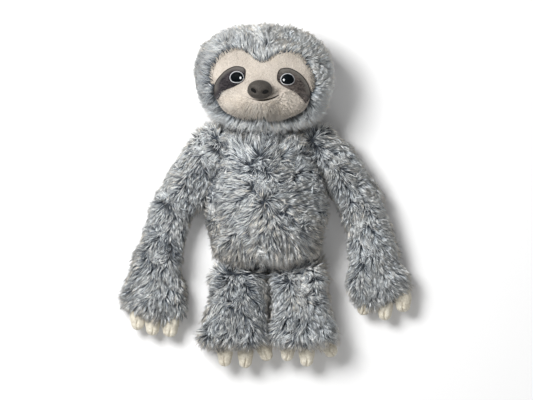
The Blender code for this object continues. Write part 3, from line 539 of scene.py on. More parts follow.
class Graph:
    """The nodes of one material."""

    def __init__(self, name, roughness=0.8, **sockets):
        self.material = bpy.data.materials.new(name)
        self.material.use_nodes = True
        self.tree = self.material.node_tree
        self.shader = self.tree.nodes["Principled BSDF"]
        self.set(self.shader, {"Roughness": roughness, **sockets})

    def set(self, node, values):
        for key, value in values.items():
            if isinstance(value, bpy.types.NodeSocket):
                self.tree.links.new(value, node.inputs[key])
            else:
                node.inputs[key].default_value = value
        return node

    def node(self, kind, values=(), **settings):
        made = self.tree.nodes.new("ShaderNode" + kind)
        for key, value in settings.items():
            setattr(made, key, value)
        return self.set(made, dict(values))

    def math(self, operation, a, b=0.0, clamp=False):
        return self.node("Math", {0: a, 1: b}, operation=operation, use_clamp=clamp).outputs[0]

    def mix(self, share, a, b, blend="MIX"):
        made = self.node("Mix", {0: share, 6: a, 7: b}, data_type="RGBA", blend_type=blend)
        return made.outputs[2]

    def ramp(self, value, *stops):
        made = self.node("ValToRGB", {0: value})
        band = made.color_ramp
        while len(band.elements) < len(stops):
            band.elements.new(0.5)
        for element, (place, colour) in zip(band.elements, stops):
            element.position = place
            element.color = (*colour, 1)
        return made.outputs[0]

    def noise(self, scale, detail=4.0, roughness=0.6, stretch=None, distortion=0.0):
        """Noise on object coordinates, in cycles to the metre."""
        place = self.node("TexCoord").outputs["Object"]
        if stretch is not None:
            place = self.node("Mapping", {"Vector": place, "Scale": stretch}).outputs[0]
        return self.node("TexNoise", {"Vector": place, "Scale": scale, "Detail": detail,
                                      "Roughness": roughness, "Distortion": distortion}).outputs[0]

    def bump(self, height, strength, distance):
        self.set(self.shader, {"Normal": self.node("Bump", {
            "Height": height, "Strength": strength, "Distance": distance}).outputs[0]})

    def colour(self, socket):
        self.set(self.shader, {"Base Color": socket})
        return self.material


def grey(*colour):
    return (*colour, 1.0)


def pile_finish(name, dark, light, tints):
    """Colour along a strand, from its root to its tip, read from the piece's own map: the
    column gives the strand's hue and how light it is, the height the place along it."""
    graph = Graph(name, 0.85, **{"Specular IOR Level": 0.25, "Sheen Weight": 0.15,
                                 "Sheen Roughness": 0.5})
    place = graph.node("SeparateXYZ", {0: graph.node("UVMap", uv_map="OFBake").outputs[0]})
    column = graph.math("MULTIPLY", place.outputs[0], HUES)
    band = graph.math("FLOOR", column)
    shade = graph.math("FRACT", column)
    along = place.outputs[1]
    colour = graph.mix(shade, graph.ramp(along, *dark), graph.ramp(along, *light))
    tint = graph.ramp(graph.math("DIVIDE", band, HUES - 1), *tints)
    return graph.colour(graph.mix(1.0, colour, tint, "MULTIPLY"))


def cloth_finish(name, low, high, scale, roughness=0.9, bump=0.35, stretch=None, sheen=0.25):
    """Short-napped cloth: two tones in a fine noise over a broad one, and the nap as a bump."""
    graph = Graph(name, roughness, **{"Specular IOR Level": 0.2, "Sheen Weight": sheen,
                                      "Sheen Roughness": 0.4})
    nap = graph.noise(scale, 5.0, 0.7, stretch)
    broad = graph.noise(scale / 14, 3.0)
    share = graph.math("ADD", graph.math("MULTIPLY", nap, 0.7), graph.math("MULTIPLY", broad, 0.3))
    graph.bump(nap, bump, 0.0012)
    return graph.colour(graph.ramp(share, (0.36, low), (0.62, high)))


PILE = pile_finish("frosted_pile",
                   dark=((0, (0.010, 0.014, 0.022)), (0.5, (0.045, 0.062, 0.085)),
                         (0.85, (0.15, 0.18, 0.215)), (1, (0.30, 0.335, 0.37))),
                   light=((0, (0.05, 0.065, 0.085)), (0.3, (0.50, 0.53, 0.555)),
                          (0.6, (0.95, 0.955, 0.95)), (1, (1.0, 1.0, 0.99))),
                   tints=((0, (0.95, 0.98, 1.0)), (0.5, (1, 1, 0.985)), (1, (1.0, 0.945, 0.865))))
NAP = pile_finish("face_nap",
                  dark=((0, (0.26, 0.22, 0.18)), (1, (0.47, 0.42, 0.365))),
                  light=((0, (0.50, 0.45, 0.39)), (1, (0.90, 0.855, 0.785))),
                  tints=((0, (1, 1, 1)), (0.5, (1, 0.98, 0.95)), (1, (0.97, 0.92, 0.85))))
GROUND = cloth_finish("pile_ground", (0.020, 0.025, 0.032), (0.055, 0.065, 0.080), 900)
VELOUR = cloth_finish("face_velour_nap", (0.39, 0.34, 0.29), (0.60, 0.545, 0.485), 900)
CLAW_VELOUR = cloth_finish("claw_velour_nap", (0.50, 0.445, 0.345), (0.83, 0.79, 0.68), 500)


def patch_finish(name, low, high, edge):
    """Nap of two tones in short streaks over broad clouds, paler in the band along its top."""
    graph = Graph(name, 0.9, **{"Specular IOR Level": 0.15, "Sheen Weight": 0.15,
                                "Sheen Roughness": 0.5})
    streak, cloud = graph.noise(420, 5.0, 0.75, (1.0, 2.2, 1.0)), graph.noise(110, 2.0)
    share = graph.math("ADD", graph.math("MULTIPLY", streak, 0.65), graph.math("MULTIPLY", cloud, 0.35))
    graph.bump(streak, 0.4, 0.0012)
    band = graph.math("MULTIPLY", graph.node("Attribute", attribute_name="band").outputs["Fac"],
                      graph.math("ADD", share, 0.35), clamp=True)
    return graph.colour(graph.mix(band, graph.ramp(share, (0.42, low), (0.58, high)), grey(*edge)))


PATCHES = {-1: patch_finish("patch_nap_left", (0.008, 0.007, 0.009), (0.052, 0.044, 0.048),
                            (0.13, 0.12, 0.11)),
           1: patch_finish("patch_nap_right", (0.006, 0.005, 0.005), (0.120, 0.100, 0.090),
                           (0.15, 0.14, 0.125))}
PIPING = cloth_finish("patch_edge_thread", (0.010, 0.008, 0.007), (0.040, 0.032, 0.028), 700)
NOSE_SKIN = cloth_finish("nose_flock", (0.024, 0.021, 0.018), (0.074, 0.066, 0.058), 700,
                         roughness=0.6, bump=0.2, sheen=0.1)
THREAD = cloth_finish("mouth_thread", (0.008, 0.005, 0.003), (0.026, 0.018, 0.012), 2500)
# Near-black pads set in the nostril dents: painted shade deep in the nostrils.
NOSTRIL_SHADE = cloth_finish("nostril_painted_shade", (0.0008, 0.0008, 0.0008), (0.004, 0.004, 0.004), 1500,
                       sheen=0.0)
WASHER = cloth_finish("washer_plastic_grain", (0.74, 0.74, 0.72), (0.82, 0.82, 0.80), 300,
                      roughness=0.4, bump=0.05, sheen=0.0)


def gloss_finish(name, low, high, roughness, shine=0.4):
    graph = Graph(name, roughness, **{"Specular IOR Level": shine})
    return graph.colour(graph.ramp(graph.noise(500, 3.0), (0.35, low), (0.65, high)))


EYE_DARK = gloss_finish("eye_gloss", (0.001, 0.0015, 0.002), (0.003, 0.005, 0.007), 0.45, 0.03)
EYE_RIM = gloss_finish("eye_rim_thread", (0.46, 0.47, 0.49), (0.72, 0.73, 0.75), 0.5)
EYE_GLINT = gloss_finish("eye_glint_thread", (0.85, 0.87, 0.90), (0.95, 0.96, 0.98), 0.5)


# Camera, floor and light

WORLD_LIGHT = 0.23
FAR_OFF = 10.0                   # from the camera to the middle of the toy, in metres


def make_stage():
    """The camera far overhead, the ground, the backdrop and the lamps."""
    camera = bpy.data.objects.new("camera", bpy.data.cameras.new("camera"))
    camera.location = (0, 0, FAR_OFF + 0.05)
    camera.data.sensor_width, camera.data.lens = 36.0, 36.0 * FAR_OFF / 0.533
    camera.data.clip_start, camera.data.clip_end = 0.01, 50
    bpy.context.collection.objects.link(camera)
    bpy.context.scene.camera = camera

    mesh = bpy.data.meshes.new("floor")
    mesh.from_pydata([(-20, -20, 0), (20, -20, 0), (20, 20, 0), (-20, 20, 0)], [], [(0, 1, 2, 3)])
    floor = bpy.data.objects.new("floor", mesh)
    bpy.context.collection.objects.link(floor)
    graph = Graph("pale_floor", 0.9, **{"Base Color": grey(0.9, 0.9, 0.9), "Specular IOR Level": 0.0,
                                        "Emission Color": grey(1, 1, 1)})
    graph.set(graph.shader, {"Emission Strength": graph.math(
        "MULTIPLY", graph.node("LightPath").outputs["Is Camera Ray"], 0.02)})
    mesh.materials.append(graph.material)

    world = bpy.data.worlds.new("studio")
    bpy.context.scene.world = world
    world.use_nodes = True
    nodes, links = world.node_tree.nodes, world.node_tree.links
    nodes["Background"].inputs["Color"].default_value = (1, 1, 1, 1)
    path = nodes.new("ShaderNodeLightPath")
    seen, strength = (nodes.new("ShaderNodeMath") for _ in range(2))
    seen.operation, strength.operation = "MAXIMUM", "MULTIPLY_ADD"
    links.new(path.outputs["Is Camera Ray"], seen.inputs[0])
    links.new(path.outputs["Is Glossy Ray"], seen.inputs[1])
    links.new(seen.outputs[0], strength.inputs[0])
    strength.inputs[1].default_value, strength.inputs[2].default_value = 1 - WORLD_LIGHT, WORLD_LIGHT
    links.new(strength.outputs[0], nodes["Background"].inputs["Strength"])

    for name, place, size, watts in (("key", (-0.70, 0.58, 1.42), 0.7, 32.8),
                                     ("fill", (0.1, -0.9, 1.5), 1.0, 4.6)):
        lamp = bpy.data.lights.new(name, "AREA")
        lamp.size, lamp.energy = size, watts
        holder = bpy.data.objects.new(name, lamp)
        holder.location = place
        holder.rotation_euler = (-Vector(place)).to_track_quat("-Z", "Y").to_euler()
        bpy.context.collection.objects.link(holder)
    bpy.context.scene.view_settings.view_transform = "Standard"


make_stage()


# Face

FACE_MIDDLE, FACE_HALF = np.array([-3.9, 116.0]), np.array([52.2, 35.5])
FACE_OUTLINE = FACE_MIDDLE + FACE_HALF * np.array([
    (0, .61), (.18, .71), (.34, .87), (.56, .91), (.78, .72), (.96, .30), (.99, -.04), (.90, -.45),
    (.78, -.76), (.47, -.96), (.14, -.99), (0, -.89), (-.14, -.93), (-.42, -.95), (-.70, -.80),
    (-.86, -.50), (-.97, -.05), (-.99, .35), (-.86, .72), (-.62, .95), (-.38, .95), (-.16, .72)])
FACE_SINK = 1.5
PADS = ((-26.5, 97, 80, 25, 15, 14.5), (19.5, 97, 80, 25, 15, 14.5), (-4.5, 101, 84, 22, 19, 14))
MOUTH_MIDDLE, MOUTH_WIDTH, MOUTH_DIP, MOUTH_TURN = (-4.3, 103.4), 34.5, 5, 1.5


def ring_reach(corners, points, grown=0.0):
    """How far out from the middle of a closed curve each point is, as a share of the curve's
    distance in that direction."""
    middle = corners.mean(0)
    ring = closed_curve(corners, np.linspace(0, 1, 400)) - middle
    angles, radii = np.arctan2(ring[:, 1], ring[:, 0]), np.linalg.norm(ring, axis=1)
    order = np.argsort(angles)
    away = points[..., :2] - middle
    limit = np.interp(np.arctan2(away[..., 1], away[..., 0]), angles[order], radii[order],
                      period=2 * np.pi)
    return np.linalg.norm(away, axis=-1) / (limit + grown)


def face_reach(points, grown=0.0):
    return ring_reach(FACE_OUTLINE, points, grown)


def press_face(points):
    """Hollow the head behind the face, 3 below it."""
    inside = (face_reach(points, -2.0) < 1) & (points[..., 2] > 50)
    limit = face_top(points[..., 0], points[..., 1]) - 3
    points[..., 2] = np.where(inside, np.minimum(points[..., 2], limit), points[..., 2])
    return points


def mouth_line(x):
    share = (x - MOUTH_MIDDLE[0]) / MOUTH_WIDTH + 0.5
    return MOUTH_MIDDLE[1] + MOUTH_DIP * ((2 * share - 1) ** 2 - 1) + MOUTH_TURN * share


def head_top(x, y, inset):
    """Height of the head's front over a place: its section's upper half."""
    away = np.stack([x, y], -1) - HEAD.origin[:2]
    v = np.clip(away @ HEAD.along[:2] / (HEAD_HALF[1] - inset), -0.999, 0.999)
    w = (HEAD_HALF[0] - inset) * (1 - np.abs(v) ** HEAD_OUTLINE_P) ** (1 / HEAD_OUTLINE_P)
    d = (HEAD_HALF[2] - inset) * np.sqrt(1 - v * v)
    t = np.clip(np.abs(away @ HEAD.across[:2] / w), 0, 0.999)
    return HEAD_LEVEL + d * (1 - t ** HEAD.p) ** (1 / HEAD.p)


def face_top(x, y, rise=0.0):
    """Height of the face: the soft maximum b log(sum exp(z / b)) of the head drawn in, the two
    cheeks and the muzzle, which are half ellipsoids, less the fold of the mouth and the parting
    of the chin."""
    heights = [head_top(x, y, FACE_SINK - rise)]
    for px, py, level, a, b, c in PADS:
        q = ((x - px) / (a + rise)) ** 2 + ((y - py) / (b + rise)) ** 2
        heights.append(level + (c + rise) * np.sqrt(np.maximum(1 - q, 0)) - 30 * np.maximum(q - 1, 0))
    z = np.stack(heights)
    top = z.max(0)
    z = top + 1.2 * np.log(np.exp((z - top) / 1.2).sum(0)) - 0.8
    side = np.clip(np.abs(x - MOUTH_MIDDLE[0]) / (MOUTH_WIDTH / 2), 0, 2)
    fold = bell(y - mouth_line(x), 1.5) / (1 + np.exp((side - 1) * 30))
    corner = sum(bell(np.hypot(x - cx, y - cy), 3.0) for cx, cy in ((14.0, 106.0), (-22.5, 104.2)))
    parting = bell(x + 5.5, 2.0) * falling(y, 90, 2)
    return z - 1.1 * fold - 0.5 * corner - 1.3 * parting


def pad_piece(name, outline, top, low, finish, slot, rings=12, around=72, mark=None):
    """A closed pad on the face inside an outline: at a share r of the way from its middle to its
    outline it reaches top(x, y, r), and underneath low(x, y, r). mark(x, y, r) is kept as the
    mesh's attribute band."""
    shares = np.concatenate([np.linspace(0, 1, rings) ** 0.8, np.linspace(1, 0, rings)])
    ring = outline(np.arange(around) / around)
    middle = ring.mean(0)
    xy = middle + shares[:, None, None] * (ring - middle)
    x, y = xy[..., 0], xy[..., 1]
    r = np.broadcast_to(shares[:, None], x.shape)
    upper = np.arange(2 * rings)[:, None] < rings
    z = np.where(upper, top(x, y, r), low(x, y, r))
    band = 0 * x if mark is None else mark(x, y, r)
    points, faces = capped_grid(np.stack([x, y, z, band], -1))
    return make_piece(name, points[:, :3], faces, "head", finish, slot,
                      marks=None if mark is None else points[:, 3])


def ellipse(middle, width, height, flat=0.0):
    """An ellipse whose lower half is flattened by a share, and widens again as much as it can."""
    def outline(turn):
        c, s = np.cos(2 * np.pi * turn), np.sin(2 * np.pi * turn)
        low = s < 0
        x, y = np.where(low, signed_power(c, 1 - flat), c), np.where(low, s * (1 - flat), s)
        return np.stack([middle[0] + width / 2 * x, middle[1] + height / 2 * y], -1)
    return outline


def make_face():
    def outline(turn):
        return closed_curve(FACE_OUTLINE, turn)
    face = pad_piece("face_velour", outline,
                     lambda x, y, r: face_top(x, y) - 6 * np.maximum(r - 0.94, 0) / 0.06,
                     lambda x, y, r: 54.0, VELOUR, "face_velour", 60, 220)
    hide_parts("face_panel")


def make_mouth():
    """A thread along the mouth line, each section a circle square to X, of a radius from 0.15 at
    the left to 0.85 at the right, where it dives into the cheek's dimple."""
    x = MOUTH_MIDDLE[0] + np.linspace(-0.5, 0.5, 60) * MOUTH_WIDTH
    y = mouth_line(x)
    z = face_top(x, y) + 0.2
    share = np.linspace(0, 1, 60)
    closing = np.sqrt(np.clip(1 - np.abs(2 * share - 1) ** 6, 0, 1))
    radius = ((0.15 + 0.70 * rising(share, 0.38, 0.06)) * closing)[:, None]
    turn = np.linspace(0, 2 * np.pi, 10, endpoint=False)
    ring = np.stack([np.zeros((60, 10)), radius * np.cos(turn), radius * np.sin(turn)], -1)
    points = np.stack([x, y, z], -1)[:, None] + ring
    piece = make_piece("mouth_thread", *capped_grid(points), "head", THREAD, "thread")
    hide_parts("mouth_stitch")


EYES = {-1: (-29.6, 121.9), 1: (21.0, 119.8)}
PATCH_LENGTH = 40.5
PATCH_SHARES = {-1: ((-.21, .12), (-.17, .24), (.02, .28), (.20, .22), (.36, .10), (.54, -.14),
                     (.56, -.40), (.48, -.54), (.40, -.42), (.26, -.30), (.06, -.22), (-.16, -.08)),
                1: ((-.26, .06), (-.20, .24), (-.04, .29), (.14, .25), (.36, .10), (.52, -.14),
                    (.56, -.38), (.46, -.58), (.38, -.50), (.20, -.32), (-.06, -.19), (-.22, -.07))}
EYE_RIM_SIZE, EYE_DOME_SIZE, EYE_GLINT_SIZE = (14.3, 12.8), (13.1, 11.6), (1.9, 2.5)


def make_piping(label, corners):
    """A thread along the edge of a patch: sections 0.9 wide and 0.8 high carried along the
    outline, drawn in by 0.2, thinning to nothing at both ends."""
    turn = np.linspace(-0.10, 0.56, 80)
    path, step = closed_curve(corners, turn), 1e-3
    ways = unit(closed_curve(corners, turn + step) - path)
    inward = np.stack([ways[:, 1], -ways[:, 0]], -1)
    inward *= np.sign(((corners.mean(0) - path) * inward).sum())
    path = path + 0.2 * inward
    angle = np.linspace(0, 2 * np.pi, 10, endpoint=False)
    size = np.sqrt(np.clip(1 - np.abs(np.linspace(-1, 1, 80)) ** 4, 0, 1))[:, None, None]
    xy = path[:, None] + 0.45 * size * np.cos(angle)[None, :, None] * inward[:, None]
    z = face_top(xy[..., 0], xy[..., 1], 0.4) + 0.35 + 0.4 * size[..., 0] * np.sin(angle)
    make_piece(f"eye_patch_edge_{label}", *capped_grid(np.concatenate([xy, z[..., None]], -1)), "head",
               PIPING, "patch_cloth")


def make_eye(side):
    """One eye: its patch on the face, the pale rim, the dark dome and the glint on it."""
    label, middle = SIDES[side], np.array(EYES[side])
    corners = middle + PATCH_LENGTH * np.array(PATCH_SHARES[side]) * (side, 1)

    def upper_edge(x, y):
        """1 above the line from the inner end of the patch to its outer tip."""
        rise = (y - middle[1]) + 0.75 * side * (x - middle[0])
        return np.clip(rise / 5 + 0.2, 0, 1)

    def patch_top(x, y, r):
        return face_top(x, y, 0.4) + 0.9 * np.sqrt(np.maximum(1 - r ** 4, 0))
    patch = pad_piece(f"eye_patch_plush_{label}", lambda turn: closed_curve(corners, turn), patch_top,
                      lambda x, y, r: face_top(x, y, -0.5), PATCHES[side], "patch_cloth", 24, 120,
                      mark=lambda x, y, r: np.clip((r - 0.62) / 0.25, 0, 1) * upper_edge(x, y))
    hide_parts(f"eye_patch_{label}")
    make_piping(label, corners)

    def bulge(rise, crown):
        """The face's own form at a height over it, a fifth flatter, with a crown on it."""
        level = face_top(*middle, rise)
        return lambda x, y, r: level + (face_top(x, y, rise) - level) * 0.8 \
            + crown * np.sqrt(np.maximum(1 - r ** 2, 0))
    rim = pad_piece(f"eye_rim_{label}", ellipse(middle, *EYE_RIM_SIZE, 0.15), bulge(1.4, 1.3),
                    lambda x, y, r: face_top(x, y, 0.5), EYE_RIM, "eye_light", 10, 64)
    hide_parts(f"eye_ring_{label}")
    dome = pad_piece(f"eye_dome_{label}", ellipse(middle, *EYE_DOME_SIZE, 0.2), bulge(1.9, 2.0),
                     lambda x, y, r: face_top(x, y, 0.8), EYE_DARK, "eye_dark", 14, 64)
    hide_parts(f"eye_{label}")
    spot = middle + (side * -3.7, -0.3)

    def glint_top(x, y, r):
        out = np.hypot((x - middle[0]) / 6.5, (y - middle[1]) / 5.35)
        return bulge(1.9, 2.0)(x, y, out) + 0.5 * np.sqrt(np.maximum(1 - r * r, 0))
    pad_piece(f"eye_glint_{label}", ellipse(spot, *EYE_GLINT_SIZE), glint_top,
              lambda x, y, r: face_top(x, y, 1.5), EYE_GLINT, "eye_light", 6, 24)


NOSE, NOSE_HALF = (-6.6, 109.9, 98.5), (12.5, 9.7, 9.0)
NOSTRILS = {-1: (-6.1, -1.0, np.radians(-34)), 1: (5.3, -2.3, np.radians(19))}


def make_nose():
    """An egg, wider below: x = a (1 - 0.03 sin v) cos^0.95 v sin u, y = b sin v, and
    z = c cos^0.9 v cos u, with a bell-shaped dent for each nostril on its front, and in each
    dent a near-black pad, painted shade deep in the nostril."""
    a, b, c = NOSE_HALF
    v, u = np.meshgrid(np.linspace(-np.pi / 2, np.pi / 2, 72), np.arange(120) * 2 * np.pi / 120,
                       indexing="ij")
    x = a * (1 - 0.03 * np.sin(v)) * signed_power(np.cos(v), 0.95) * np.sin(u)
    y = b * np.sin(v)
    z = c * signed_power(np.cos(v), 0.9) * np.cos(u)
    for nx, ny, slant in NOSTRILS.values():
        dx, dy = x - nx, y - ny
        along = dx * np.cos(slant) + dy * np.sin(slant)
        over = dy * np.cos(slant) - dx * np.sin(slant)
        z = z - (z > 0) * 3.4 * bell(along, 3.2) * bell(over, 1.7)
    points = np.stack([x, y, z], -1) + NOSE
    piece = make_piece("nose_plush", *capped_grid(points), "head", NOSE_SKIN, "nose_skin")
    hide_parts("nose")
    for side, (nx, ny, slant) in NOSTRILS.items():
        place = np.array(NOSE[:2]) + (nx, ny)
        ahead = np.array([np.cos(slant), np.sin(slant)])

        def slot(turn, place=place, ahead=ahead):
            angle = 2 * np.pi * turn[:, None]
            return place + 3.4 * np.cos(angle) * ahead + 1.7 * np.sin(angle) * (-ahead[1], ahead[0])
        level = NOSE[2] + c * np.sqrt(1 - (nx / a) ** 2 - (ny / b) ** 2) - 1.0
        pad_piece(f"nostril_{SIDES[side]}", slot,
                  lambda x, y, r: level + 0.4 * np.sqrt(np.maximum(1 - r * r, 0)),
                  lambda x, y, r: level - 1.5, NOSTRIL_SHADE, "nose_skin", 6, 28)


class FaceForm:
    """The face as a surface of a turn round its outline and a share of the way out to it."""
    ground = 0.5

    def surface(self, turn, share, rise=0.0):
        xy = FACE_MIDDLE + 0.97 * share[..., None] * (closed_curve(FACE_OUTLINE, turn) - FACE_MIDDLE)
        return np.concatenate([xy, (face_top(xy[..., 0], xy[..., 1]) + rise)[..., None]], -1)


def nap_keep(points, normals):
    """Off the patches, the nose and the mouth."""
    kept = np.hypot((points[..., 0] - NOSE[0]) / 12, (points[..., 1] - NOSE[1]) / 9) > 1
    over = points[..., 1] - mouth_line(points[..., 0])
    kept &= (over < -0.9) | (over > 3)
    for side in (-1, 1):
        corners = np.array(EYES[side]) + PATCH_LENGTH * np.array(PATCH_SHARES[side]) * (side, 1)
        kept &= ring_reach(corners, points, 0.3) > 1
    return kept


def nap_flow(points, normals):
    """Up on the brow, out and down over the muzzle and the cheeks."""
    low = falling(points[:, 1], 108, 4)[:, None]
    ways = (1 - low) * np.array([0, 1.0, 0]) + low * unit((points - (-4.5, 108, 90)) * (1, 1, 0))
    chin = bell(points[:, 0] + 4.5, 20) * falling(points[:, 1], 96, 2.5)
    muzzle = low[:, 0] * bell(points[:, 0] + 4.5, 26)
    rim = rising(face_reach(points), 0.93, 0.015) * rising(points[:, 1], 108, 4)
    ways = ways + 2 * rim[:, None] * unit((points - (*FACE_MIDDLE, 90)) * (1, 1, 0))
    # The shade: lighter at the chin, partly its cream hair and partly painted light on its down-turned
    # slope, and darker to -X and lighter to +X, painted shade and light that even out the key lamp's
    # side light.
    return 2.5 * ways, 0.35 + 0.2 * muzzle - 0.1 * rim, \
        0.24 * waves(points, 10, 5) - 0.06 + 0.55 * chin + 0.004 * points[:, 0], \
        1 + 0.5 * muzzle + 1.0 * chin + 0.8 * rim


make_face()
make_mouth()
for side in (-1, 1):
    make_eye(side)
make_nose()
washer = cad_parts["nose_washer"]
for holder in washer.material_slots:
    holder.material = WASHER


# Claws

CLAW_ROWS = table(((0.00, 0, 0.34, 0.36), (0.45, 0, 0.50, 0.50), (0.77, 0, 0.40, 0.39)), 26, 14.4, 14.4)
CLAW_ROUND, HAND_LEVEL, FOOT_LEVEL = 6, 18, 24
# Each claw's tip as a share of the limb's length and width, its turn in degrees and its width
HAND_CLAWS = {-1: ((1.068, .37, -21, 1.1), (1.066, .05, -21, 1.12), (1.042, -.29, -21, 1.28)),
              1: ((1.015, .29, -23, 1.25), (1.010, -.12, -27, 1.15), (.940, -.47, -33, 1.1))}
FOOT_CLAWS = {-1: ((1.295, .24, 3, 1.1), (1.320, -.10, 0, 1.1), (1.200, -.47, -18, 1.1)),
              1: ((1.205, -.19, -4, 1.1), (1.295, .13, 0, 1.15), (1.130, .57, 28, 1.15))}


def make_claws(limb, form, size, tips, level):
    """Claws sunk in a paw, each a form from its root to its tip."""
    for number, (share, aside, turn, wide) in enumerate(tips, 1):
        turn = np.radians(turn)
        ahead = form.along * np.cos(turn) + form.across * np.sin(turn)
        sideways = form.across * np.cos(turn) - form.along * np.sin(turn)
        tip = form.origin + form.along * share * size[0] + form.across * aside * size[1]
        start = tip - ahead * (CLAW_ROWS[-1][0] + CLAW_ROUND)
        rows = [(s, m, w * wide, d * wide) for s, m, w, d in CLAW_ROWS]
        claw = Form(start[:2], ahead[:2], sideways[:2], rows, (CLAW_ROUND, CLAW_ROUND), 2, level=level)

        def crease(points, tip=tip, ahead=ahead, sideways=sideways, level=level):
            """Lumps 0.5 high all over, and a wavering fold down the middle of the front from the
            tip back, 2.4 deep."""
            back, aside = (tip - points) @ ahead, (points - tip) @ sideways
            out = unit(points - tip + (back / 2)[..., None] * ahead)
            points = points + 0.5 * waves(points, 9, 3)[..., None] * out
            aside = aside + 0.7 * np.sin(back / 2.5 + tip[0])
            up = np.clip((points[..., 2] - level) / 5, 0, 1)
            points[..., 2] -= 2.4 * bell(aside, 0.7) * up * falling(back, 9, 1.2)
            return points
        name = f"{limb}_claw_{number}"
        piece = form_piece(f"{limb}_velour_claw_{number}", claw, 44, 64, limb, CLAW_VELOUR,
                           "cream_velour", crease)
        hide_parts(name)


for side, label in SIDES.items():
    make_claws(f"arm_{label}", ARMS[side], ARM_SIZE, HAND_CLAWS[side], HAND_LEVEL)
    make_claws(f"leg_{label}", LEGS[side], LEG_SIZE, FOOT_CLAWS[side], FOOT_LEVEL)


# Stuffed bodies under the fur

def stuffed(body, form, rows, columns, parts=("_front_panel", "_back_panel", "_stuffing")):
    """The stuffed form of a body, in place of its panels and stuffing."""
    piece = form_piece(f"{body}_body", form, rows, columns, body, GROUND, "grey_fur", rise=-form.ground)
    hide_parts(*(body + part for part in parts))


stuffed("torso", TORSO, 90, 96)
stuffed("head", HEAD, 90, 96)
stuffed("neck", NECK, 30, 40, [""])
for side, label in SIDES.items():
    stuffed(f"arm_{label}", ARMS[side], 80, 56)
    stuffed(f"leg_{label}", LEGS[side], 80, 56)


# How the fur lies. A flow gives for each place the way the fur is combed, how far it stands up,
# how much lighter or darker it is, and its length as a share of the pile's

def partings(points, places):
    """Push away from each parting, a line of about a radius in a direction of its own, strong at
    it and gone two radii off, and down the slopes of a swell whose crests part the fur too.
    Returns the push, and how near the closest parting is."""
    swelling, slope = swell(points, 24, 977)
    push, near = -3.5 * slope, 0.65 * np.clip((swelling - 0.15) / 0.6, 0, 1)
    for x, y, z, radius in places:
        away, turn = points - (x, y, z), 2.4 * x + 1.7 * y
        line = np.array([np.cos(turn), np.sin(turn), 0.0])
        away = away - 0.6 * (away @ line)[:, None] * line
        weight = bell(np.linalg.norm(away, axis=-1), 0.9 * radius)
        push += away / radius * weight[:, None] * 0.8
        near = np.maximum(near, weight)
    return push, near


def parted(form, keep, spots):
    """The places on a form's front nearest to each spot, given as x, y and radius."""
    points, _, _ = scatter(form, 3000, keep)
    return [(*points[np.hypot(points[:, 0] - x, points[:, 1] - y).argmin()], radius)
            for x, y, radius in spots]


def seam_shadow(points, width):
    """1 on a shoulder seam, gone a width off."""
    return sum(bell(past, width) * beside
               for past, beside, _ in (past_seam(side, points) for side in SIDES))


def off_seams(points, width):
    """Away from a shoulder seam on the torso's side of it, gone a width off."""
    return sum(-(bell(past, width) * beside)[:, None] * across
               for past, beside, across in (past_seam(side, points) for side in SIDES))


def seeded_partings(form, keep, number, seed, radius):
    dice = np.random.default_rng(seed)
    points, _, _ = scatter(form, number * 3, keep)
    chosen = points[dice.permutation(len(points))[:number]]
    return [(*p, radius * dice.uniform(0.7, 1.3)) for p in chosen]


def flank(normals):
    """1 where the surface faces sideways, 0 where it faces up or down."""
    return bell(normals[:, 2], 0.42)


def general_tone(seed, light=0.0, paws=None, slope=0.0012):
    """Patches of two sizes, and lighter at the flanks, over the claws and to the toy's left,
    which is +X. The flanks are lighter partly for their cream fringe and partly as painted rim
    light, the paws partly for their pale fringe and partly as painted light on their shaded
    ends, and the +X side partly for the fur's own tone and partly as painted light on the side
    away from the key lamp."""
    def tone(points, normals):
        look = light + 0.10 * waves(points, 26, seed) + 0.16 * waves(points, 9, seed + 1)
        if paws is not None:
            look = look + 0.28 * rising((points - paws.origin) @ paws.along, paws.rows[0][-1], 4)
        # Painted light: lighter on faces turned to +X on the toy's +X side, away from the key lamp.
        outer = np.clip(normals[:, 0], 0, 1) * np.clip(points[:, 0] / 60, 0, 1)
        return look + 0.28 * flank(normals) + slope * points[:, 0] + 0.18 * outer
    return tone


def head_tone(seed):
    """Lighter at the crown, and a steep slope across: darker to -X, painted shade on the side the key
    lamp lights, and lighter to +X, painted light on the side away from it.
    """
    spread = general_tone(seed, -0.08, slope=0.0055)
    return lambda points, normals: spread(points, normals) + 0.20 * rising(points[:, 1], 146, 4)


def general_hue(seed, cream=0.0, paws=None):
    """0 is slate, 1 grey, 2 cream: grey in front, cream towards the flanks and over the claws."""
    def hue(points, normals):
        look = 0.55 + cream + 1.6 * flank(normals) + 0.5 * waves(points, 30, seed)
        if paws is not None:
            look = look + 1.1 * rising((points - paws.origin) @ paws.along, paws.rows[0][-1] + 3, 3)
        return look
    return hue


def head_hue(seed):
    """Less cream at the flanks, and slate under the chin."""
    spread = general_hue(seed, 0.2)
    return lambda points, normals: \
        spread(points, normals) - 0.5 * flank(normals) - np.clip(-normals[:, 1], 0, 1)


def belly_hue(seed):
    """Cream towards the bottom of the belly."""
    spread = general_hue(seed)
    return lambda points, normals: spread(points, normals) + 0.8 * falling(points[:, 1], -12, 12)


def shoulder(points):
    """1 at the top of a shoulder seam, where the torso, an arm and the head meet."""
    return sum(bell(np.hypot(points[:, 0] - x, points[:, 1] - y), 13) for x, y in SEAM_TOP.values())


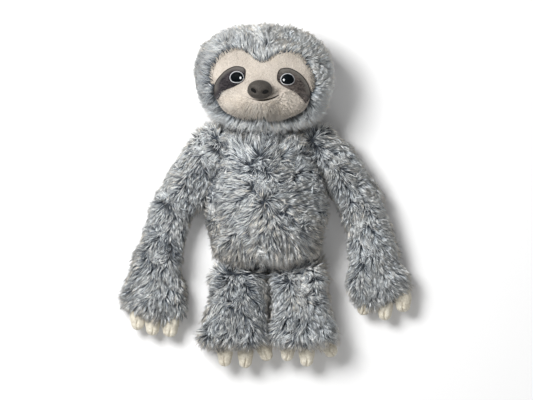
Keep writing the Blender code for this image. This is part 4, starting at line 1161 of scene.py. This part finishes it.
def torso_flow(front, places):
    """In front out from a short line down the chest, and at the back down."""
    def flow(points, normals):
        if front:
            line = np.clip(points[:, 1], 2, 40)
            away = points - np.stack([-1.5 - 0.12 * (line - 2), line, 0 * line + 60], -1)
            ways = unit(away * (1, 1, 0.2)) * np.clip(np.hypot(away[:, :1], away[:, 1:2]) / 14, 0, 1)
            near = bell(np.hypot(away[:, 0], away[:, 1]), 10) * (0.65 + 0.35 * waves(points, 12, 5))
        else:
            ways, near = np.tile((0, -1.0, 0), (len(points), 1)), np.zeros(len(points))
        push, close = partings(points, places)
        close = np.maximum(near, close)
        low, high = falling(points[:, 1], -38, 4), rising(points[:, 1], 48, 4)
        middle, corner = bell(points[:, 0], 32), shoulder(points)
        return ways + push + 1.5 * off_seams(points, 6) + high[:, None] * (0, 0.7, 0.7), \
            0.20 + 0.40 * close + 0.15 * corner + 0.15 * high, \
            -0.70 * close ** 2 + 0.32 * low - 0.05 - 0.04 * high - 0.8 * seam_shadow(points, 2.5), \
            1 + (0.15 * middle + 0.5) * low + 0.4 * corner + 0.6 * high - 0.60 * seam_shadow(points, 5)
    return flow


def limb_flow(form, places):
    """Along the limb and out to both sides of it, and at its top back over the top."""
    turned = form.turned
    # Lighter on the limbs at +X: partly the fur's own tone and partly painted light on the side away
    # from the key lamp.
    light = (0.19 if form.across[0] > 0 else 0.14) - 0.09 * turned

    def flow(points, normals):
        away = points - form.origin
        s = away @ form.along
        m, w, _, _ = form.middle(s)
        top, paw = falling(s, form.rows[0][0] - form.crown, 3), rising(s, form.rows[0][-1] - 12, 4)
        aside = (away @ form.across - m) / w
        edge = np.clip(np.abs(aside), 0, 1) ** 2
        flare, outer = paw * edge, edge * top * turned
        ways = (1 - 2.2 * top)[:, None] * form.along \
            + ((0.7 - 0.6 * top * turned) * aside)[:, None] * form.across
        push, close = partings(points, places)
        corner, seam = shoulder(points) * (not turned), seam_shadow(points, 3.5) * (not turned)
        return ways + push + (1.5 * seam)[:, None] * form.across, \
            0.20 + 0.40 * close + 0.15 * top + 0.15 * outer + 0.20 * flare, \
            -0.85 * close ** 2 - 0.15 * top * turned + light - 0.6 * seam, \
            1 + 0.10 * paw + 0.35 * flare + (0.2 + 0.35 * turned) * top + 0.5 * outer \
            + 0.3 * corner - 0.5 * seam
    return flow


def head_way(points):
    """Combed out from the face all round and over the rim, and down on the back."""
    out = unit((points - (*FACE_MIDDLE, 0)) * (1, 1, 0))
    back = falling(points[..., 2], 24, 5)[..., None]
    over = bell(points[..., 2] - 42, 18)[..., None]
    return out * (1 - back) + back * (0, -1.0, 0) - over * (0, 0, 0.8)


def head_flow(points, normals):
    """Standing up round the face, and ruffled on the jowls."""
    push, close = partings(points, HEAD_PARTINGS)
    edge = bell((face_reach(points) - 1) * 40, 7) * (points[:, 2] > 50)
    jowl = falling(points[:, 1], 96, 5)
    under = np.clip(-normals[:, 1], 0, 1) * jowl
    mixed = (under * waves(points, 7, 3))[:, None]
    # The shade is lighter on the jowls, for their light locks, and more where they face down: painted
    # light on the underside the lamps miss.
    return (head_way(points) + push + under[:, None] * (0, 0, 1.2) + mixed * (1.0, 0, 0),
            0.18 + 0.40 * close + 0.15 * edge + 0.4 * under,
            -0.50 * close ** 2 + 0.16 * jowl + 0.15 * under, 1 + 0.2 * jowl + 0.4 * under)


# Where the front pile ends and the back pile begins
TORSO_LEVEL, ARM_LEVEL = 40.0, 22.5


def above(level, sign):
    return lambda points: (points[..., 2] - level) * sign > 0


def outside_seam(side, keeps):
    def test(points):
        past, beside, _ = past_seam(side, points)
        return (past * keeps > 0.6) | ~beside
    return test


def torso_keep(sign):
    """Off the hips, the neck and the head, and off the seams where the arms cover them."""
    def keep(points, normals):
        kept = above(TORSO_LEVEL, sign)(points)
        for side in (-1, 1):
            kept &= outside_seam(side, -1)(points) | ~ARMS[side].holds(points)
        drop = np.maximum(HIP_LEVEL - points[..., 2], 0)
        kept &= points[..., 1] > HIP_Y + np.sqrt(np.maximum((HIP_RADIUS + 0.6) ** 2 - drop ** 2, 0))
        kept &= points[..., 1] > seat_line(points[..., 0])
        kept &= np.linalg.norm(points - NECK_MIDDLE, axis=-1) > NECK_RADIUS + 0.5
        kept &= ~HEAD.holds(points, -2)
        return kept
    return keep


def arm_keep(side, sign):
    """Off the seam on the shoulder."""
    def keep(points, normals):
        return above(ARM_LEVEL, sign)(points) & outside_seam(side, 1)(points)
    return keep


def leg_keep(sign):
    def keep(points, normals):
        return above(HIP_LEVEL, sign)(points)
    return keep


def head_keep(sign):
    """Off the face, up to its edge."""
    def keep(points, normals):
        face = (face_reach(points, -0.8) < 1) & (points[..., 2] > 50)
        ball = np.linalg.norm(points - NECK_MIDDLE, axis=-1) < NECK_RADIUS + 0.5
        return above(HEAD_LEVEL, sign)(points) & ~face & ~ball
    return keep


# Where the fur parts and shows its dark roots, as x, y and radius, save the last two head spots
TORSO_SPOTS = ((-23, 36, 9), (-8, 29, 6), (-40, 52, 8), (37, 48, 8), (-35, -41, 8), (31, -29, 8),
               (50, 25, 6), (-52, -22, 6), (6, -44, 6))
ARM_SPOTS = {-1: ((-69, 62, 9), (-66, 33, 7), (-103, -7, 9), (-103, -40, 8), (-119, -63, 8),
                  (-96, -52, 6), (-120, -100, 6)),
             1: ((47, 53, 9), (74, 27, 9), (97, -7, 8), (80, -17, 6), (100, -57, 9), (90, -77, 7),
                 (118, -88, 6))}
LEG_SPOTS = {-1: ((-40, -77, 9), (-24, -87, 8), (-34, -107, 9), (-54, -140, 7), (-16, -137, 8)),
             1: ((16, -80, 7), (23, -120, 9), (47, -100, 8), (33, -140, 7))}
# The last two head spots, at the chin's notch and under the right cheek, part the fur and darken it as
# painted shade below the face's rim.
HEAD_SPOTS = ((47, 151, 6), (51, 138, 6), (57, 118, 6), (42, 86, 6), (-52, 106, 5), (-38, 156, 5),
              (8, 168, 5), (-4.5, 81, 5), (14, 77.5, 6))
NAP_KIND = (2.4, 3, 0.38, 1.0, 0.7, 0.4, ((0.01, 1.0),), 0.8, 0.9)
make_pile("face_nap", FaceForm(), nap_keep, nap_flow, NAP, "head", "face_velour", 131,
          lambda points, normals: 0, lambda points, normals: 0.6 + 0.6 * waves(points, 14, 9),
          length=2.9, kinds=(NAP_KIND,), contrast=0.28)
HEAD_PARTINGS = parted(HEAD, head_keep(1), HEAD_SPOTS)
for sign, label, dense in ((1, "front", 1.1), (-1, "back", 0.9)):
    def places_on(form, keep, spots, seed):
        if sign > 0:
            return parted(form, keep, spots)
        return seeded_partings(form, keep, len(spots), seed, 9)
    places = places_on(TORSO, torso_keep(sign), TORSO_SPOTS, 11)
    slot, torso_hue = ("belly_fur", belly_hue) if sign > 0 else ("grey_fur", general_hue)
    make_pile(f"torso_{label}_pile", TORSO, torso_keep(sign), torso_flow(sign > 0, places), PILE,
              "torso", slot, 21 + sign, general_tone(31 + sign), torso_hue(36 + sign), dense=dense)
    make_pile(f"head_{label}_pile", HEAD, head_keep(sign), head_flow, PILE, "head", "grey_fur",
              41 + sign, head_tone(51 + sign), head_hue(56 + sign),
              length=11, contrast=0.32, dense=dense)
    # The +X limbs' lighter tone (0.03 + 0.03 side for the arms, the legs' steeper slope) is partly the
    # fur's own and partly painted light on the side away from the key lamp.
    for side, hand in SIDES.items():
        form, number = ARMS[side], side + 3 * sign
        places = places_on(form, arm_keep(side, sign), ARM_SPOTS[side], 61 + side)
        make_pile(f"arm_{hand}_{label}_pile", form, arm_keep(side, sign), limb_flow(form, places), PILE,
                  f"arm_{hand}", "grey_fur", 71 + number,
                  general_tone(81 + number, 0.03 + 0.03 * side, form),
                  general_hue(86 + number, 0, form), dense=dense)
        form = LEGS[side]
        places = places_on(form, leg_keep(sign), LEG_SPOTS[side], 91 + side)
        make_pile(f"leg_{hand}_{label}_pile", form, leg_keep(sign), limb_flow(form, places), PILE,
                  f"leg_{hand}", "grey_fur", 101 + number, general_tone(111 + number, 0, form, 0.0028),
                  general_hue(116 + number, 0, form), dense=dense)
make_pile("neck_pile", NECK, lambda points, normals: np.abs(points[..., 1] - 66) < 14, head_flow,
          PILE, "neck", "grey_fur", 121, general_tone(122), general_hue(126), length=9)
